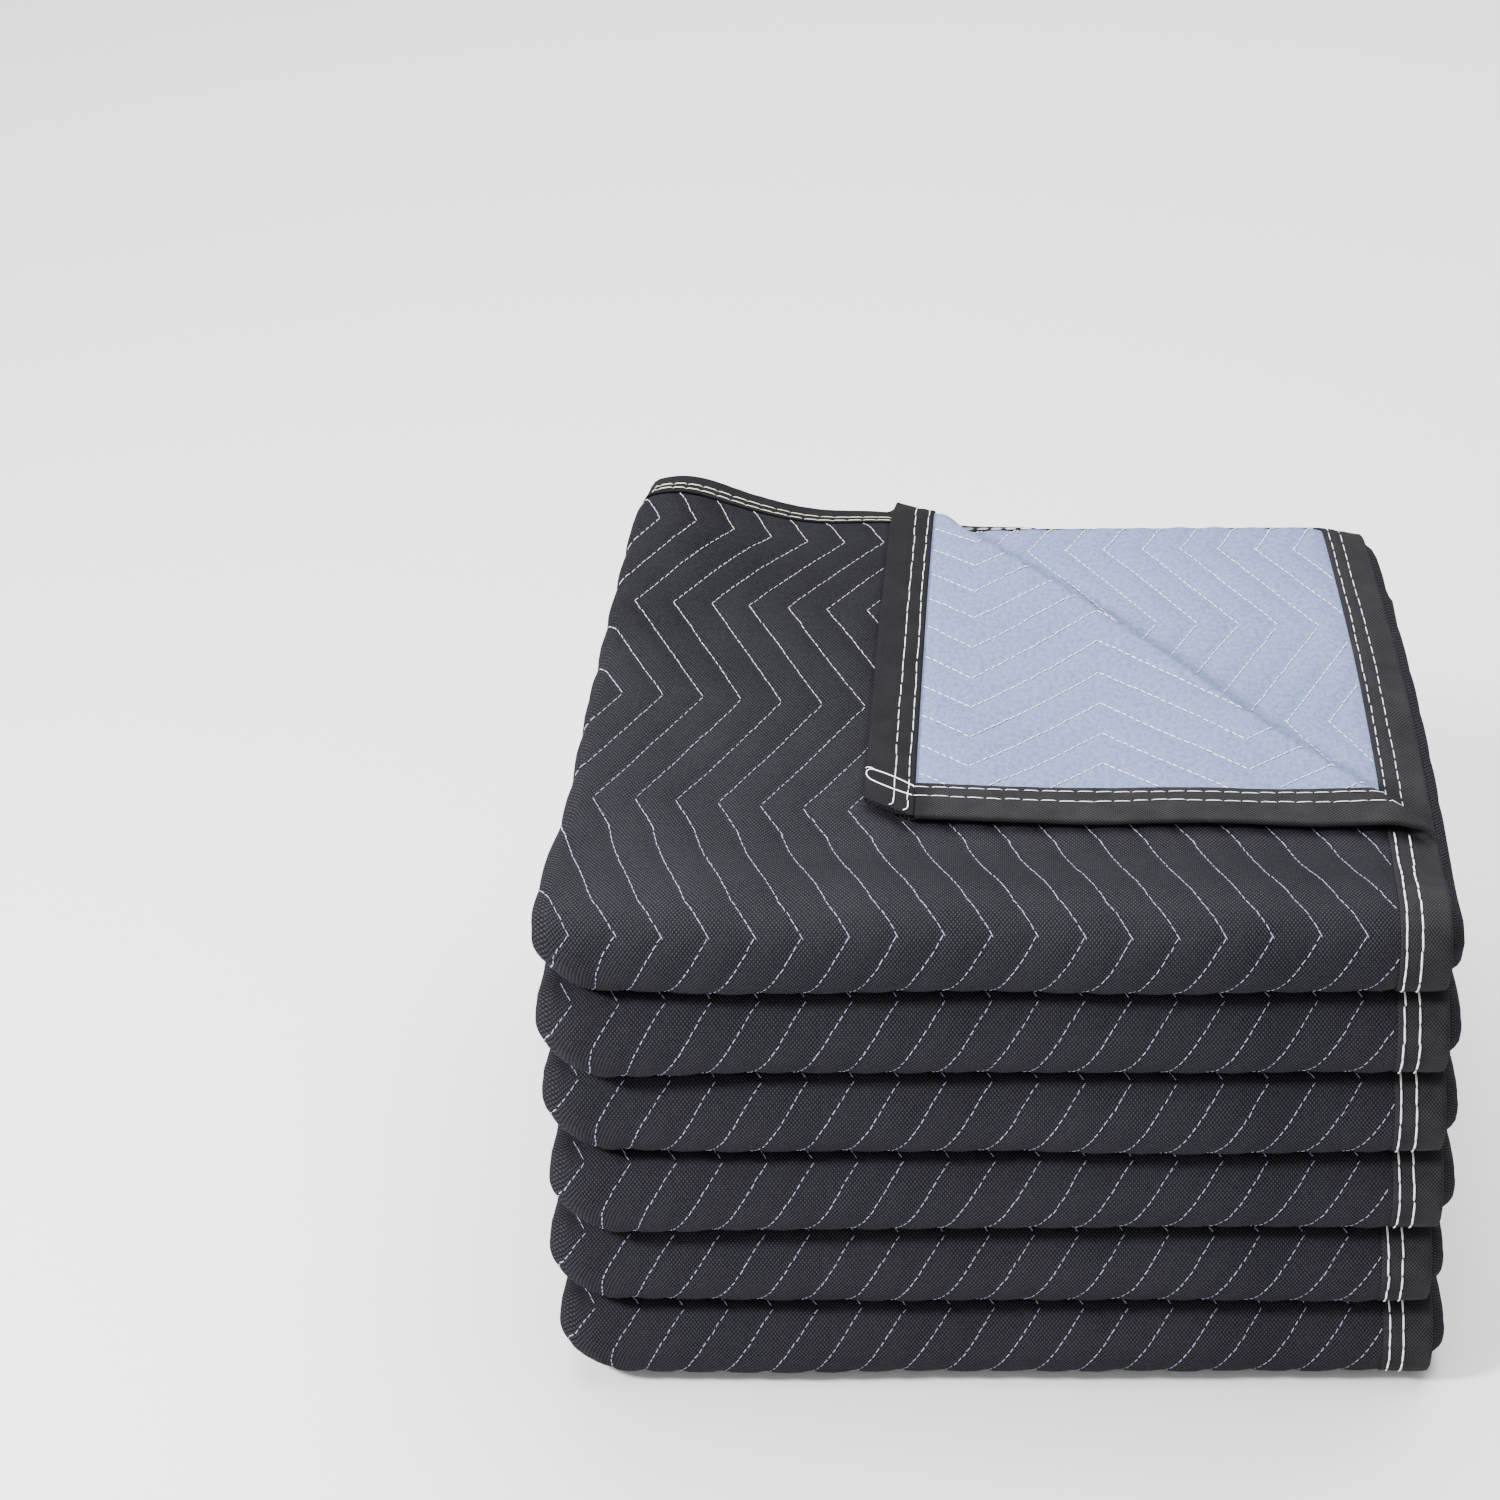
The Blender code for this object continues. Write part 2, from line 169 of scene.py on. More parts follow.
def curve(places, known, heights):
    """Reads a smooth curve through the known heights at each of the places."""
    known = np.asarray(known, float)
    heights = np.broadcast_to(np.asarray(heights, float), (len(places), len(known)))
    slopes = np.gradient(heights, known, axis=1)
    slopes[:, 0] = 0
    places = np.clip(places, known[0], known[-1])
    k = np.clip(np.searchsorted(known, places, side="right") - 1, 0, len(known) - 2)
    row = np.arange(len(places))
    step = known[k + 1] - known[k]
    t = (places - known[k]) / step
    start, end = heights[row, k], heights[row, k + 1]
    rise = (t**3 - 2 * t**2 + t) * step * slopes[row, k] + (t**3 - t**2) * step * slopes[row, k + 1]
    return (2 * t**3 - 3 * t**2 + 1) * start + (3 * t**2 - 2 * t**3) * end + rise


def uneven(x, y, size, seed):
    """Soft random swells between -1 and 1, each about size across."""
    lattice = np.random.default_rng(seed).uniform(-1, 1, (64, 64))
    i, j = np.floor(x / size).astype(int), np.floor(y / size).astype(int)
    s, t = smooth(x / size - i), smooth(y / size - j)
    low = lattice[i % 64, j % 64] * (1 - s) + lattice[(i + 1) % 64, j % 64] * s
    high = lattice[i % 64, (j + 1) % 64] * (1 - s) + lattice[(i + 1) % 64, (j + 1) % 64] * s
    return low * (1 - t) + high * t


print("swell at the middle of the top:", curve(np.array([0.29]), SWELL_X, LEVELS[2][2:]))

# %% [markdown]
# ## Quilting
#
# The stitch lines run along the blanket and swing from side to side about every 110 mm, all in
# step, which makes the chevrons. On the top blanket the rows where they turn are placed one by one,
# as they show, and the lower blankets are folded a little further along. The place of a line is
# worked out from two functions, so that the grooves in the cloth and the thread in them can't
# drift apart.

# %% Where the stitch lines run
FRONT_ROWS = [-0.041, 0.071, 0.164, 0.266, 0.376, 0.516, 0.625]
LOWER_FRONT_ROWS = [FIRST_ROW - 0.006 + HALF_WAVE * k for k in range(-1, 6)]
BACK_ROWS = [LENGTH - inward for inward in (0.480, 0.375, 0.270, 0.166, 0.075, -0.035)]
BENDS = [(0.403, 0.26), (0.445, 0.49), (0.488, 0.75)]


def rows_on(lay):
    """Where one blanket's stitch lines turn or bend, and how far they have swung there, 0 to 1."""
    front = FRONT_ROWS if lay is TOP else LOWER_FRONT_ROWS
    rows = front + between(front[-1], BACK_ROWS[0], 7) + BACK_ROWS
    turns = [(row, k % 2) for k, row in enumerate(rows)]
    return sorted(turns + BENDS) if lay is TOP else turns


def swing(v, lay):
    """How far the stitch lines have swung to the right at v."""
    rows, swung = zip(*rows_on(lay))
    return SWING * np.interp(v, rows, swung)


def line_number(u, v, lay):
    """A whole number on a stitch line, and a half midway between two."""
    return (PANEL_WIDTH - LINE_AT + SWING - u - swing(v, lay)) / LINE_SPACING


def line_place(number, v, lay):
    """Where across the cloth a stitch line runs at v."""
    return PANEL_WIDTH - LINE_AT + SWING - number * LINE_SPACING - swing(v, lay)


print("chevron rows of the top blanket:", [round(row, 3) for row, _ in rows_on(TOP)])

# %% [markdown]
# ## Folding
#
# The blanket is folded in half along its length with the dark side out, in three across its
# width, and in half along its length again, which leaves the thick round nose at the front. On
# the top blanket the free corner is first rolled over a diagonal crease. Each fold is a small
# function that takes points in the coordinates before it to those after it, as in the solids, so
# cloth, tape and thread can all go through the same folds.

# %% Turn the corner, fold in half, fold in three
def turn_corner(u, v, o):
    """Rolls the corner over the crease that runs across it. Returns u, v and the height."""
    past = (CORNER - u - v) / math.sqrt(2)
    along = (u - v) / math.sqrt(2)
    front = smooth(-along / CORNER - 0.2)
    radius = ROLL_RADIUS + (ROLL_RADIUS_FRONT - ROLL_RADIUS) * front
    angle = np.pi * np.clip(past, 0, ROLL_ARC) / ROLL_ARC
    drop = smooth((past - ROLL_ARC) / ROLL_SETTLES_IN)
    rolling = past < ROLL_ARC
    out = np.where(rolling, (radius - o) * np.sin(angle), ROLL_ARC - past)
    flat = 2 * radius + (LAYER + FLAP_LOFT - 2 * radius) * drop - o + flap_waves(u, v, past)
    height = np.where(rolling, radius - (radius - o) * np.cos(angle), flat)
    total = CORNER - math.sqrt(2) * out
    difference = math.sqrt(2) * along
    turned = past > 0
    return (
        np.where(turned, (total + difference) / 2, u),
        np.where(turned, (total - difference) / 2, v),
        np.where(turned, height, o),
    )


def flap_waves(u, v, past):
    """How the turned corner lifts a little, most at its free edges."""
    inward = smooth((past - ROLL_ARC) / 0.05)
    edge = np.exp(-np.minimum(u, v) / 0.03)
    swell = FLAP_SWELL + FLAP_SWELL * uneven(u + 3, v + 5, 0.075, 11)
    curl = FLAP_CURL * edge * (1 + uneven(u + 1, v + 2, 0.06, 12))
    return inward * (swell + curl)


def fold_in_half(v, height):
    """Lays the two halves of the length dark side out. Returns the distance and the offset."""
    offset = LAYER / 2 + height
    angle = np.pi * (np.clip(v, TURN_START, TURN_END) - TURN_START) / TURN_ARC
    turning = TURN_START + offset * np.sin(angle)
    distance = np.select([v < TURN_START, v > TURN_END], [v, LENGTH - v], turning)
    return distance, offset * np.cos(angle)


def fold_in_three(u, offset):
    """Folds the width in three. Returns x and the depth below the packet's outer face."""
    left_angle = np.pi * (np.clip(u, LEFT_FOLD, LEFT_END) - LEFT_FOLD) / RIDGE_ARC
    right_angle = np.pi * (np.clip(u, RIGHT_FOLD, RIGHT_END) - RIGHT_FOLD) / RIDGE_ARC
    parts = [u < LEFT_FOLD, u < LEFT_END, u < RIGHT_FOLD, u < RIGHT_END]
    x = np.select(parts, [
        PANEL_WIDTH - u,
        LEFT_RIDGE_X - (LAYER + offset) * np.sin(left_angle),
        LEFT_RIDGE_X + u - LEFT_FOLD - RIDGE_ARC,
        RIGHT_RIDGE_X + (LAYER - offset) * np.sin(right_angle),
    ], RIGHT_RIDGE_X - (u - RIGHT_FOLD - RIDGE_ARC))
    depth = np.select(parts, [
        LAYER - offset,
        2 * LAYER - (LAYER + offset) * np.cos(left_angle),
        3 * LAYER + offset,
        4 * LAYER - (LAYER - offset) * np.cos(right_angle),
    ], 5 * LAYER - offset)
    return x, depth


print("ridges at x", round(LEFT_RIDGE_X, 4), "and", round(RIGHT_RIDGE_X, 4))

# %% Fold over the nose, and let the back hang
def fold_nose(distance, depth, droop):
    """Folds the packet in half round its nose, its upper half hanging over at the back."""
    half = PACKET_HEIGHT / 2
    angle = np.pi * (np.clip(distance, TOP_RUN, NOSE_END) - TOP_RUN) / NOSE_ARC
    reach = NOSE_REACH * (1 - depth / half)
    past = np.maximum(DROOP_START - distance, 0)
    bend = droop * np.minimum(past / DROOP_ARC, 1)
    hanging = np.maximum(past - DROOP_ARC, 0)
    radius = DROOP_ARC / droop + 3 * LAYER - depth
    over = DEPTH - DROOP_START + radius * np.sin(bend) + hanging * np.cos(bend)
    fall = radius * (1 - np.cos(bend)) + hanging * np.sin(bend)
    parts = [distance > NOSE_END, distance > TOP_RUN, distance > DROOP_START]
    y = np.select(parts, [
        NOSE_REACH + distance - NOSE_END,
        NOSE_REACH - reach * np.sin(angle),
        DEPTH - distance,
    ], over)
    z = np.select(parts, [
        depth,
        half + (half - depth) * np.cos(angle),
        PACKET_HEIGHT - depth,
    ], PACKET_HEIGHT - depth - fall)
    return y, z


print("the nose is", round(NOSE_ARC, 3), "m round its outside")

# %% [markdown]
# ## Unevenness
#
# Soft cloth never lies as evenly as it is drawn. The top blanket swells between its edges, its
# cloth has slid to the front with the turned corner, its back edge rises in a hump and sinks in a
# hollow, and its right edge sinks. The left ends of the noses draw in where they go under. A
# cloth simulation could give such swells too, but not in the places where these ones show. So
# each is a soft trough or ridge placed one by one, and all plies of a blanket share it, most on top
# and least inside, so that they don't meet.

# %% How the top blanket swells, slides and sinks
SLIDE = 0.014
SLIDE_OF_CORNER = 0.018
SLIDE_FROM = 0.10
SLIDE_GROWS_OVER = 0.25
SLIDE_FADES_OVER = 0.085
SINK_OF_EDGE = 0.008
SINKS_FROM = 0.572
SINKS_OVER = 0.044
RIPPLE = 0.0012
SWELL_OF_BACK = 0.008

Bulge = namedtuple("Bulge", "height x width")
BULGES_OF_BACK = (Bulge(0.015, 0.034, 0.045), Bulge(-0.008, 0.150, 0.050))


def back_edge(x, distance):
    """How the back edge rises: a hump and a hollow at the left, and a low swell at the right."""
    rise = SWELL_OF_BACK * smooth((x - 0.22) / 0.12)
    for bulge in BULGES_OF_BACK:
        rise += bulge.height * np.exp(-(((x - bulge.x) / bulge.width) ** 2))
    return rise * smooth(1 - distance / 0.16)


def slide(x, distance):
    """How far the cloth has slid to the front, most at the turned corner."""
    growing = smooth((distance - SLIDE_FROM) / SLIDE_GROWS_OVER)
    slid = (SLIDE + SLIDE_OF_CORNER * smooth(x / 0.22)) * growing
    return slid * smooth((TOP_RUN - 0.002 - distance) / SLIDE_FADES_OVER)


def settle(x, y, z, distance, depth):
    """The uneven upper half of the top blanket."""
    share = np.clip(1 - depth / (PACKET_HEIGHT / 2), 0, 1)
    distances = [level.distance for level in LEVELS]
    rises = np.stack([curve(x, SWELL_X, level[2:]) for level in LEVELS], axis=1)
    drawn_in = curve(distance, distances, [level.drawn_in for level in LEVELS])
    pull = curve(x, SWELL_X, BACK_PULL) * np.clip(1 - distance / LEVELS[2].distance, 0, 1)
    ease = smooth((TOP_RUN - distance) / 0.06)
    ripple = RIPPLE * uneven(x + 2, distance + 3, 0.09, 21) * ease
    sink = SINK_OF_EDGE * smooth((x - SINKS_FROM) / SINKS_OVER) * ease
    rise = curve(distance, distances, rises) + ripple + back_edge(x, distance) - sink
    middle = PACKET_WIDTH / 2
    narrowed = middle + (x - middle) * (1 - 2 * drawn_in / PACKET_WIDTH)
    return narrowed, y - (pull + slide(x, distance)) * share, z + rise * share


print("the turned corner slides", round(SLIDE + SLIDE_OF_CORNER, 3), "m to the front")

# %% How the noses slump, and how the top one's left side draws in
LEFT_END_IN = 0.020
LEFT_SIDE_IN = 0.010
LEFT_CORNER_BACK = 0.010
RIGHT_CORNER_BACK = 0.004
NOSE_BACK = 0.001
NOSE_SWELL = 0.0022
NOSE_RIPPLE = 0.0008


def slump(x, y, z, seed):
    """The unevenness of the noses: a little reach, and left ends that draw in where they go under."""
    near_nose = smooth(1 - y / 0.09)
    corner = smooth(1 - x / 0.028) * LEFT_CORNER_BACK
    corner += smooth(1 - (PACKET_WIDTH - x) / 0.020) * RIGHT_CORNER_BACK
    reach = NOSE_SWELL * uneven(x + 7, z * 0 + seed, 0.13, seed)
    reach += NOSE_RIPPLE * uneven(x + 3, z, 0.04, seed + 1)
    going_under = smooth(1 - z / 0.050) * smooth(1 - y / 0.055)
    drawn_in = LEFT_END_IN * going_under * smooth(1 - x / 0.090)
    return x + drawn_in, y + near_nose * (corner + reach + NOSE_BACK)


def draw_in_left(x, y):
    """Draws in the top blanket's left side behind its nose."""
    behind_nose = smooth((y - 0.03) / 0.12) * smooth(1.6 - y / 0.40)
    return x + LEFT_SIDE_IN * smooth(1 - x / 0.20) * behind_nose


print("left ends draw in by", LEFT_END_IN, "m")

# %% Fold a blanket and lay it in the stack
TIP_ACROSS = 0.024
TIP_ALONG = 0.030
TIP_LEFT = 0.25
ON_FLOOR = 0.0001
SHIFT = (0.0, 0.0, 0.0)


def fold(flat, lay):
    """Takes points of the flat cloth to their place in the folded blanket."""
    u, v, height = np.asarray(flat, float).T
    if lay is TOP:
        turned = turn_corner(u, v, height)
        near = v < MIDDLE
        u, v, height = [np.where(near, new, old) for new, old in zip(turned, (u, v, height))]
    distance, offset = fold_in_half(v, height)
    x, depth = fold_in_three(u, offset)
    droop = curve(x, SWELL_X, BACK_DROOP) if lay is TOP else np.full(len(x), DROOP)
    y, z = fold_nose(distance, depth, droop)
    if lay is TOP:
        swollen = settle(x, y, z, distance, depth)
        upper = distance < TOP_RUN
        x, y, z = [np.where(upper, new, old) for new, old in zip(swollen, (x, y, z))]
    return x, y, z


def tuck_corner(flat):
    """Tucks in the very tip of the turned corner, which ends on a slant."""
    u, v = flat[:, 0], flat[:, 1]
    slant = TIP_ACROSS * (1 - v / TIP_ALONG)
    flat[:, 0] = np.where(u < slant, slant + TIP_LEFT * (u - slant), u)
    return flat


def lay_down(flat, lay):
    """Folds flat points, makes them uneven, and lays them in the stack."""
    if lay is TOP:
        flat = tuck_corner(np.array(flat, float))
    x, y, z = fold(flat, lay)
    x, y = slump(x, y, z, 40 + 3 * STACK.index(lay))
    if lay is TOP:
        x = draw_in_left(x, y)
    places = in_stack(x, y, z, lay)
    places[:, 2] = np.maximum(places[:, 2], ON_FLOOR)
    return places


def in_stack(x, y, z, lay):
    """From a folded blanket's own place to its place in the stack."""
    spread = 1 + 2 * (lay.spread - TAPER * y / DEPTH) / PACKET_WIDTH
    x = (x - PACKET_WIDTH / 2) * spread
    y = y - DEPTH / 2
    turn = math.radians(lay.turn)
    level = STACK.index(lay)
    return np.stack([
        x * math.cos(turn) - y * math.sin(turn) + lay.right + SHIFT[0],
        x * math.sin(turn) + y * math.cos(turn) + lay.back + SHIFT[1],
        z + level * PACKET_HEIGHT + SHIFT[2],
    ], axis=1)


print("a place on the top blanket:", lay_down([(0.30, 0.25, 0)], TOP).round(3))

# %% [markdown]
# ## Where the stack stands
#
# The solids stand on the floor with the middle of their footprint at the origin, and how far
# that moved them follows from their own points. So one strip of tape of the lowest blanket is
# folded here at the places where its solid is scored, and the two boxes are laid over each
# other.

# %% Find the stack's place from one strip of tape
scored = [TURN_START, MIDDLE, TURN_END, HEM_INNER, LENGTH - HEM_INNER]
half = [HEM_END, DROOP_START, TOP_RUN, NOSE_ROW, NOSE_END] + between(NOSE_ROW, NOSE_END, 2)
scored += half + [LENGTH - place for place in half]
strip = [(u, v, o) for v in scored for u in (0, TAPE_WIDTH) for o in (-PLY / 2, PLY / 2)]
x, y, z = fold(strip, STACK[0])
folded = in_stack(x, y, z, STACK[0])
low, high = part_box("blanket_1_binding_right")
by_low = np.array(low) - folded.min(axis=0)
by_high = np.array(high) - folded.max(axis=0)
SHIFT = tuple((by_low + by_high) / 2)
print("stack moved by", np.round(SHIFT, 5), "the two corners differ by", np.round(by_low - by_high, 6))

# %% [markdown]
# ## The cloth's grid
#
# Each cloth is one thin sheet. Its grid is drawn flat: the columns of the front panel swing with
# the stitch lines, so that every groove runs along an edge, and those beyond it are straight,
# for the two ridges. Where a swinging column would leave the panel it is held at the border, and
# the points that fall together there are made one. Rows are close where the cloth shows and far
# apart inside the packet.

# %% Columns and rows
RIDGE_STEP = 0.0023
TURN_STEP = 0.0015
SHOWN_STEP = 0.0053
INSIDE_STEP = 0.045
PAST_NOSE = NOSE_END + 0.02


def evenly(start, end, step):
    """Places from start up to, but without, end, about step apart."""
    count = max(1, round((end - start) / step))
    return [start + (end - start) * k / count for k in range(count)]


def columns_of(per_line):
    """The swinging columns of the front panel, and the straight ones beyond it."""
    spread = LINE_SPACING / per_line
    first = math.ceil((PANEL_WIDTH - LINE_AT - LEFT_FOLD) / spread)
    last = math.floor((PANEL_WIDTH - LINE_AT + SWING - HEM_EDGE) / spread)
    swinging = [PANEL_WIDTH - LINE_AT + SWING - k * spread for k in range(last, first - 1, -1)]
    straight = evenly(LEFT_FOLD, LEFT_END, RIDGE_STEP) + evenly(LEFT_END, RIGHT_FOLD, INSIDE_STEP)
    straight += evenly(RIGHT_FOLD, RIGHT_END, RIDGE_STEP)
    straight += evenly(RIGHT_END, WIDTH - HEM_END, INSIDE_STEP)
    straight += [WIDTH - HEM_END, WIDTH - HEM_INNER, WIDTH - 0.015, WIDTH - HEM_EDGE]
    return [HEM_EDGE] + swinging, straight


def rows_of(lay):
    """Where the grid's rows lie along the cloth."""
    edge = [HEM_EDGE, 0.012, 0.024, HEM_INNER]
    turn = evenly(TURN_START, TURN_END, TURN_STEP)
    if lay is TOP:
        near = evenly(HEM_INNER, FRONT_ROWS[1], 0.005)
        for low, high in zip(FRONT_ROWS[1:5], FRONT_ROWS[2:6]):
            near += evenly(low, high, SHOWN_STEP)
        near += evenly(FRONT_ROWS[5], PAST_NOSE, SHOWN_STEP)
        far = [LENGTH - place for place in evenly(HEM_INNER, LAST_ROW, 0.006)]
        for low, high in zip(BACK_ROWS[1:4], BACK_ROWS[2:5]):
            far += evenly(low, high, 0.0062)
        far.append(BACK_ROWS[4])
        start = BACK_ROWS[1]
    else:
        near = evenly(HEM_INNER, DROOP_START, 0.005) + evenly(DROOP_START, TOP_RUN - 0.02, 0.022)
        turning = LOWER_FRONT_ROWS[5]
        near += evenly(TOP_RUN - 0.02, turning, 0.004) + evenly(turning, PAST_NOSE, 0.004)
        far = [LENGTH - place for place in evenly(HEM_INNER, PAST_NOSE, 0.014)]
        start = LENGTH - PAST_NOSE
    middle = evenly(PAST_NOSE, TURN_START, 0.04) + turn + evenly(TURN_END, start, 0.04)
    rows = edge + near + middle + far + [LENGTH - place for place in edge]
    return np.unique(np.round(rows, 7))


print("top blanket:", len(rows_of(TOP)), "rows and", sum(len(part) for part in columns_of(6)), "columns")

# %% Flat sheet of points and triangles
def flat_sheet(lay, per_line):
    """The grid as points (u, v) and triangles, with the points at the borders made one."""
    swinging, straight = columns_of(per_line)
    rows = rows_of(lay)
    slanted = np.asarray(swinging)[None, :] - swing(rows, lay)[:, None]
    slanted[:, 0] = HEM_EDGE
    slanted = np.clip(slanted, HEM_EDGE, LEFT_FOLD)
    u = np.concatenate([slanted, np.broadcast_to(straight, (len(rows), len(straight)))], axis=1)
    count = u.shape[1]
    index = np.arange(u.size).reshape(u.shape)
    first_of_edge = index[:, :1]
    first_of_ridge = index[:, len(swinging):len(swinging) + 1]
    index = np.where(u <= HEM_EDGE + 1e-6, first_of_edge, index)
    index = np.where(np.abs(u - LEFT_FOLD) < 1e-6, first_of_ridge, index)
    a, b = index[:-1, :-1].ravel(), index[:-1, 1:].ravel()
    c, d = index[1:, 1:].ravel(), index[1:, :-1].ravel()
    faces = np.concatenate([np.stack([a, b, c], 1), np.stack([a, c, d], 1)])
    whole = (faces[:, 0] != faces[:, 1]) & (faces[:, 1] != faces[:, 2]) & (faces[:, 0] != faces[:, 2])
    faces = faces[whole]
    points = np.stack([u.ravel(), np.repeat(rows, count)], axis=1)
    used, faces = np.unique(faces, return_inverse=True)
    return points[used], faces.reshape(-1, 3)


print("edge of the cloth inside its tape:", HEM_EDGE, "m in")

# %% Score the crease of the turned corner
def score_crease(points, faces, beyond=()):
    """Adds points where the corner rolls over, and at more places beyond, to bend it smoothly."""
    mesh = bmesh.new()
    verts = [mesh.verts.new(point) for point in points]
    for face in faces:
        mesh.faces.new([verts[k] for k in face])
    slope = Vector((1, 1, 0)).normalized()
    for past in [0, *between(0, ROLL_ARC, 6), ROLL_ARC, *beyond]:
        near_end = [face for face in mesh.faces if face.calc_center_median().y < MIDDLE]
        geometry = set(near_end)
        for face in near_end:
            geometry.update(face.edges, face.verts)
        place = slope * (CORNER / math.sqrt(2) - past)
        bmesh.ops.bisect_plane(mesh, geom=list(geometry), dist=0.0002, plane_co=place, plane_no=slope)
    bmesh.ops.triangulate(mesh, faces=mesh.faces)
    mesh.verts.index_update()
    points = np.array([vert.co for vert in mesh.verts])
    faces = np.array([[vert.index for vert in face.verts] for face in mesh.faces])
    mesh.free()
    return points, faces


print("the crease rolls over", round(ROLL_ARC, 4), "m of cloth")

# %% [markdown]
# ## The cloth's thickness
#
# Between the stitch lines the wadding puffs up, and at a line both faces are drawn together. A
# stitch line also gathers the cloth, so short puckers run away from it on both sides. Inside the
# binding the cloth is pressed thin. On the inside of the packet everything is pressed flatter,
# so that no two plies meet.

# %% Height of either face over the cloth's middle
PINCHED = 0.0011
PRESSED = 0.0020
PUFFED = 0.0030
HEMMED = 0.0007
PUFF_ROUNDNESS = 2.2
PUFF_VARIES = 0.10
PUCKER = 0.00032


def shows(u, v, side, lay):
    """1 where that face of the cloth lies open, and 0 where it is pressed by others."""
    if lay is not TOP:
        nose = smooth((v - TOP_RUN + 0.004) / 0.016) * smooth((NOSE_END - 0.004 - v) / 0.02)
        return nose * (side > 0) * (u < LEFT_END)
    past = (CORNER - u - v) / math.sqrt(2)
    open_dark = (side > 0) * smooth((NOSE_END - 0.004 - v) / 0.02) * smooth(-past / 0.01)
    turned = (side < 0) * smooth(past / 0.01) * (v < MIDDLE)
    bare = (side < 0) * smooth((CORNER - u - (LENGTH - v)) / 0.02) * (v > MIDDLE)
    return (open_dark + turned + bare) * (u < LEFT_END)


def face_height(u, v, side, lay):
    """How far one face of the cloth lies from its middle, on either side."""
    number = line_number(u, v, lay)
    away = 2 * np.abs(number - np.round(number))
    puff = 1 - (1 - away) ** PUFF_ROUNDNESS
    open_here = shows(u, v, side, lay)
    seed = 60 + 5 * STACK.index(lay)
    full = PRESSED + (PUFFED - PRESSED) * open_here
    full = full * (1 + PUFF_VARIES * open_here * uneven(u, v, 0.035, seed))
    height = PINCHED + (full - PINCHED) * puff
    along = v * 1.15 + 0.2 * np.round(number)
    pucker = uneven(along, np.round(number) * 0.37 + 5, 0.0095, seed + 1)
    height += PUCKER * pucker * open_here * away * (1 - away) * 4
    inward = np.minimum(np.minimum(u, WIDTH - u), np.minimum(v, LENGTH - v))
    hem = smooth((inward - HEM_INNER) / (HEM_END - HEM_INNER + 0.002))
    return HEMMED + (height - HEMMED) * hem


print("the cloth is", 2 * PUFFED, "m thick where it lies open,", 2 * PINCHED, "m at a line")

# %% Close the sheet
def close_sheet(points, faces, lay):
    """Gives the flat sheet its two faces and its edge. Returns points, triangles and sides."""
    u, v = points[:, 0], points[:, 1]
    upper = np.stack([u, v, face_height(u, v, 1, lay)], axis=1)
    lower = np.stack([u, v, -face_height(u, v, -1, lay)], axis=1)
    count = len(points)
    ends = np.concatenate([faces[:, [0, 1]], faces[:, [1, 2]], faces[:, [2, 0]]])
    keys = ends.min(axis=1) * count + ends.max(axis=1)
    _, where, seen = np.unique(keys, return_index=True, return_counts=True)
    rim = ends[where[seen == 1]]
    walls = np.concatenate([
        np.stack([rim[:, 1], rim[:, 0], rim[:, 0] + count], 1),
        np.stack([rim[:, 1], rim[:, 0] + count, rim[:, 1] + count], 1),
    ])
    triangles = np.concatenate([faces, faces[:, ::-1] + count, walls])
    middle = points[faces].mean(axis=1)
    inward = np.minimum(middle, (WIDTH, LENGTH) - middle).min(axis=1)
    light = inward > HEM_INNER - 0.006
    side = np.concatenate([np.zeros(len(faces)), light, np.zeros(len(walls))])
    return np.concatenate([upper, lower]), triangles, side.astype(np.int32)


print("sides are numbered 0 for the dark face and 1 for the light one")

# %% Make a folded piece
def new_piece(name, flat, triangles, lay, materials, side=None, pattern=None):
    """Folds flat points and makes them an object, with the cloth's own coordinates as its UV map."""
    pattern = flat[:, :2] if pattern is None else pattern
    places = lay_down(flat, lay)
    mesh = bpy.data.meshes.new(name)
    mesh.vertices.add(len(places))
    mesh.vertices.foreach_set("co", places.astype(np.float32).ravel())
    mesh.loops.add(triangles.size)
    mesh.loops.foreach_set("vertex_index", triangles.astype(np.int32).ravel())
    mesh.polygons.add(len(triangles))
    mesh.polygons.foreach_set("loop_start", np.arange(0, triangles.size, 3, dtype=np.int32))
    mesh.polygons.foreach_set("use_smooth", np.ones(len(triangles), bool))
    if side is not None:
        mesh.polygons.foreach_set("material_index", side)
    mesh.update(calc_edges=True)
    layer = mesh.uv_layers.new(name="cloth")
    layer.uv.foreach_set("vector", pattern[triangles.ravel()].astype(np.float32).ravel())
    for made in materials:
        mesh.materials.append(made)
    faced = bmesh.new()
    faced.from_mesh(mesh)
    bmesh.ops.recalc_face_normals(faced, faces=faced.faces)
    if faced.calc_volume(signed=True) < 0:
        bmesh.ops.reverse_faces(faced, faces=faced.faces)
    faced.to_mesh(mesh)
    faced.free()
    piece = bpy.data.objects.new(name, mesh)
    bpy.context.scene.collection.objects.link(piece)
    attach(piece, "root")
    return piece


print("pieces are ready to be folded")

# %% [markdown]
# ## Finishes
#
# A finish is a few nodes. To write them as sums, a small class wraps a node's socket, and adding
# or multiplying two of them adds a Math node. Everything else comes from one method that makes
# any node.

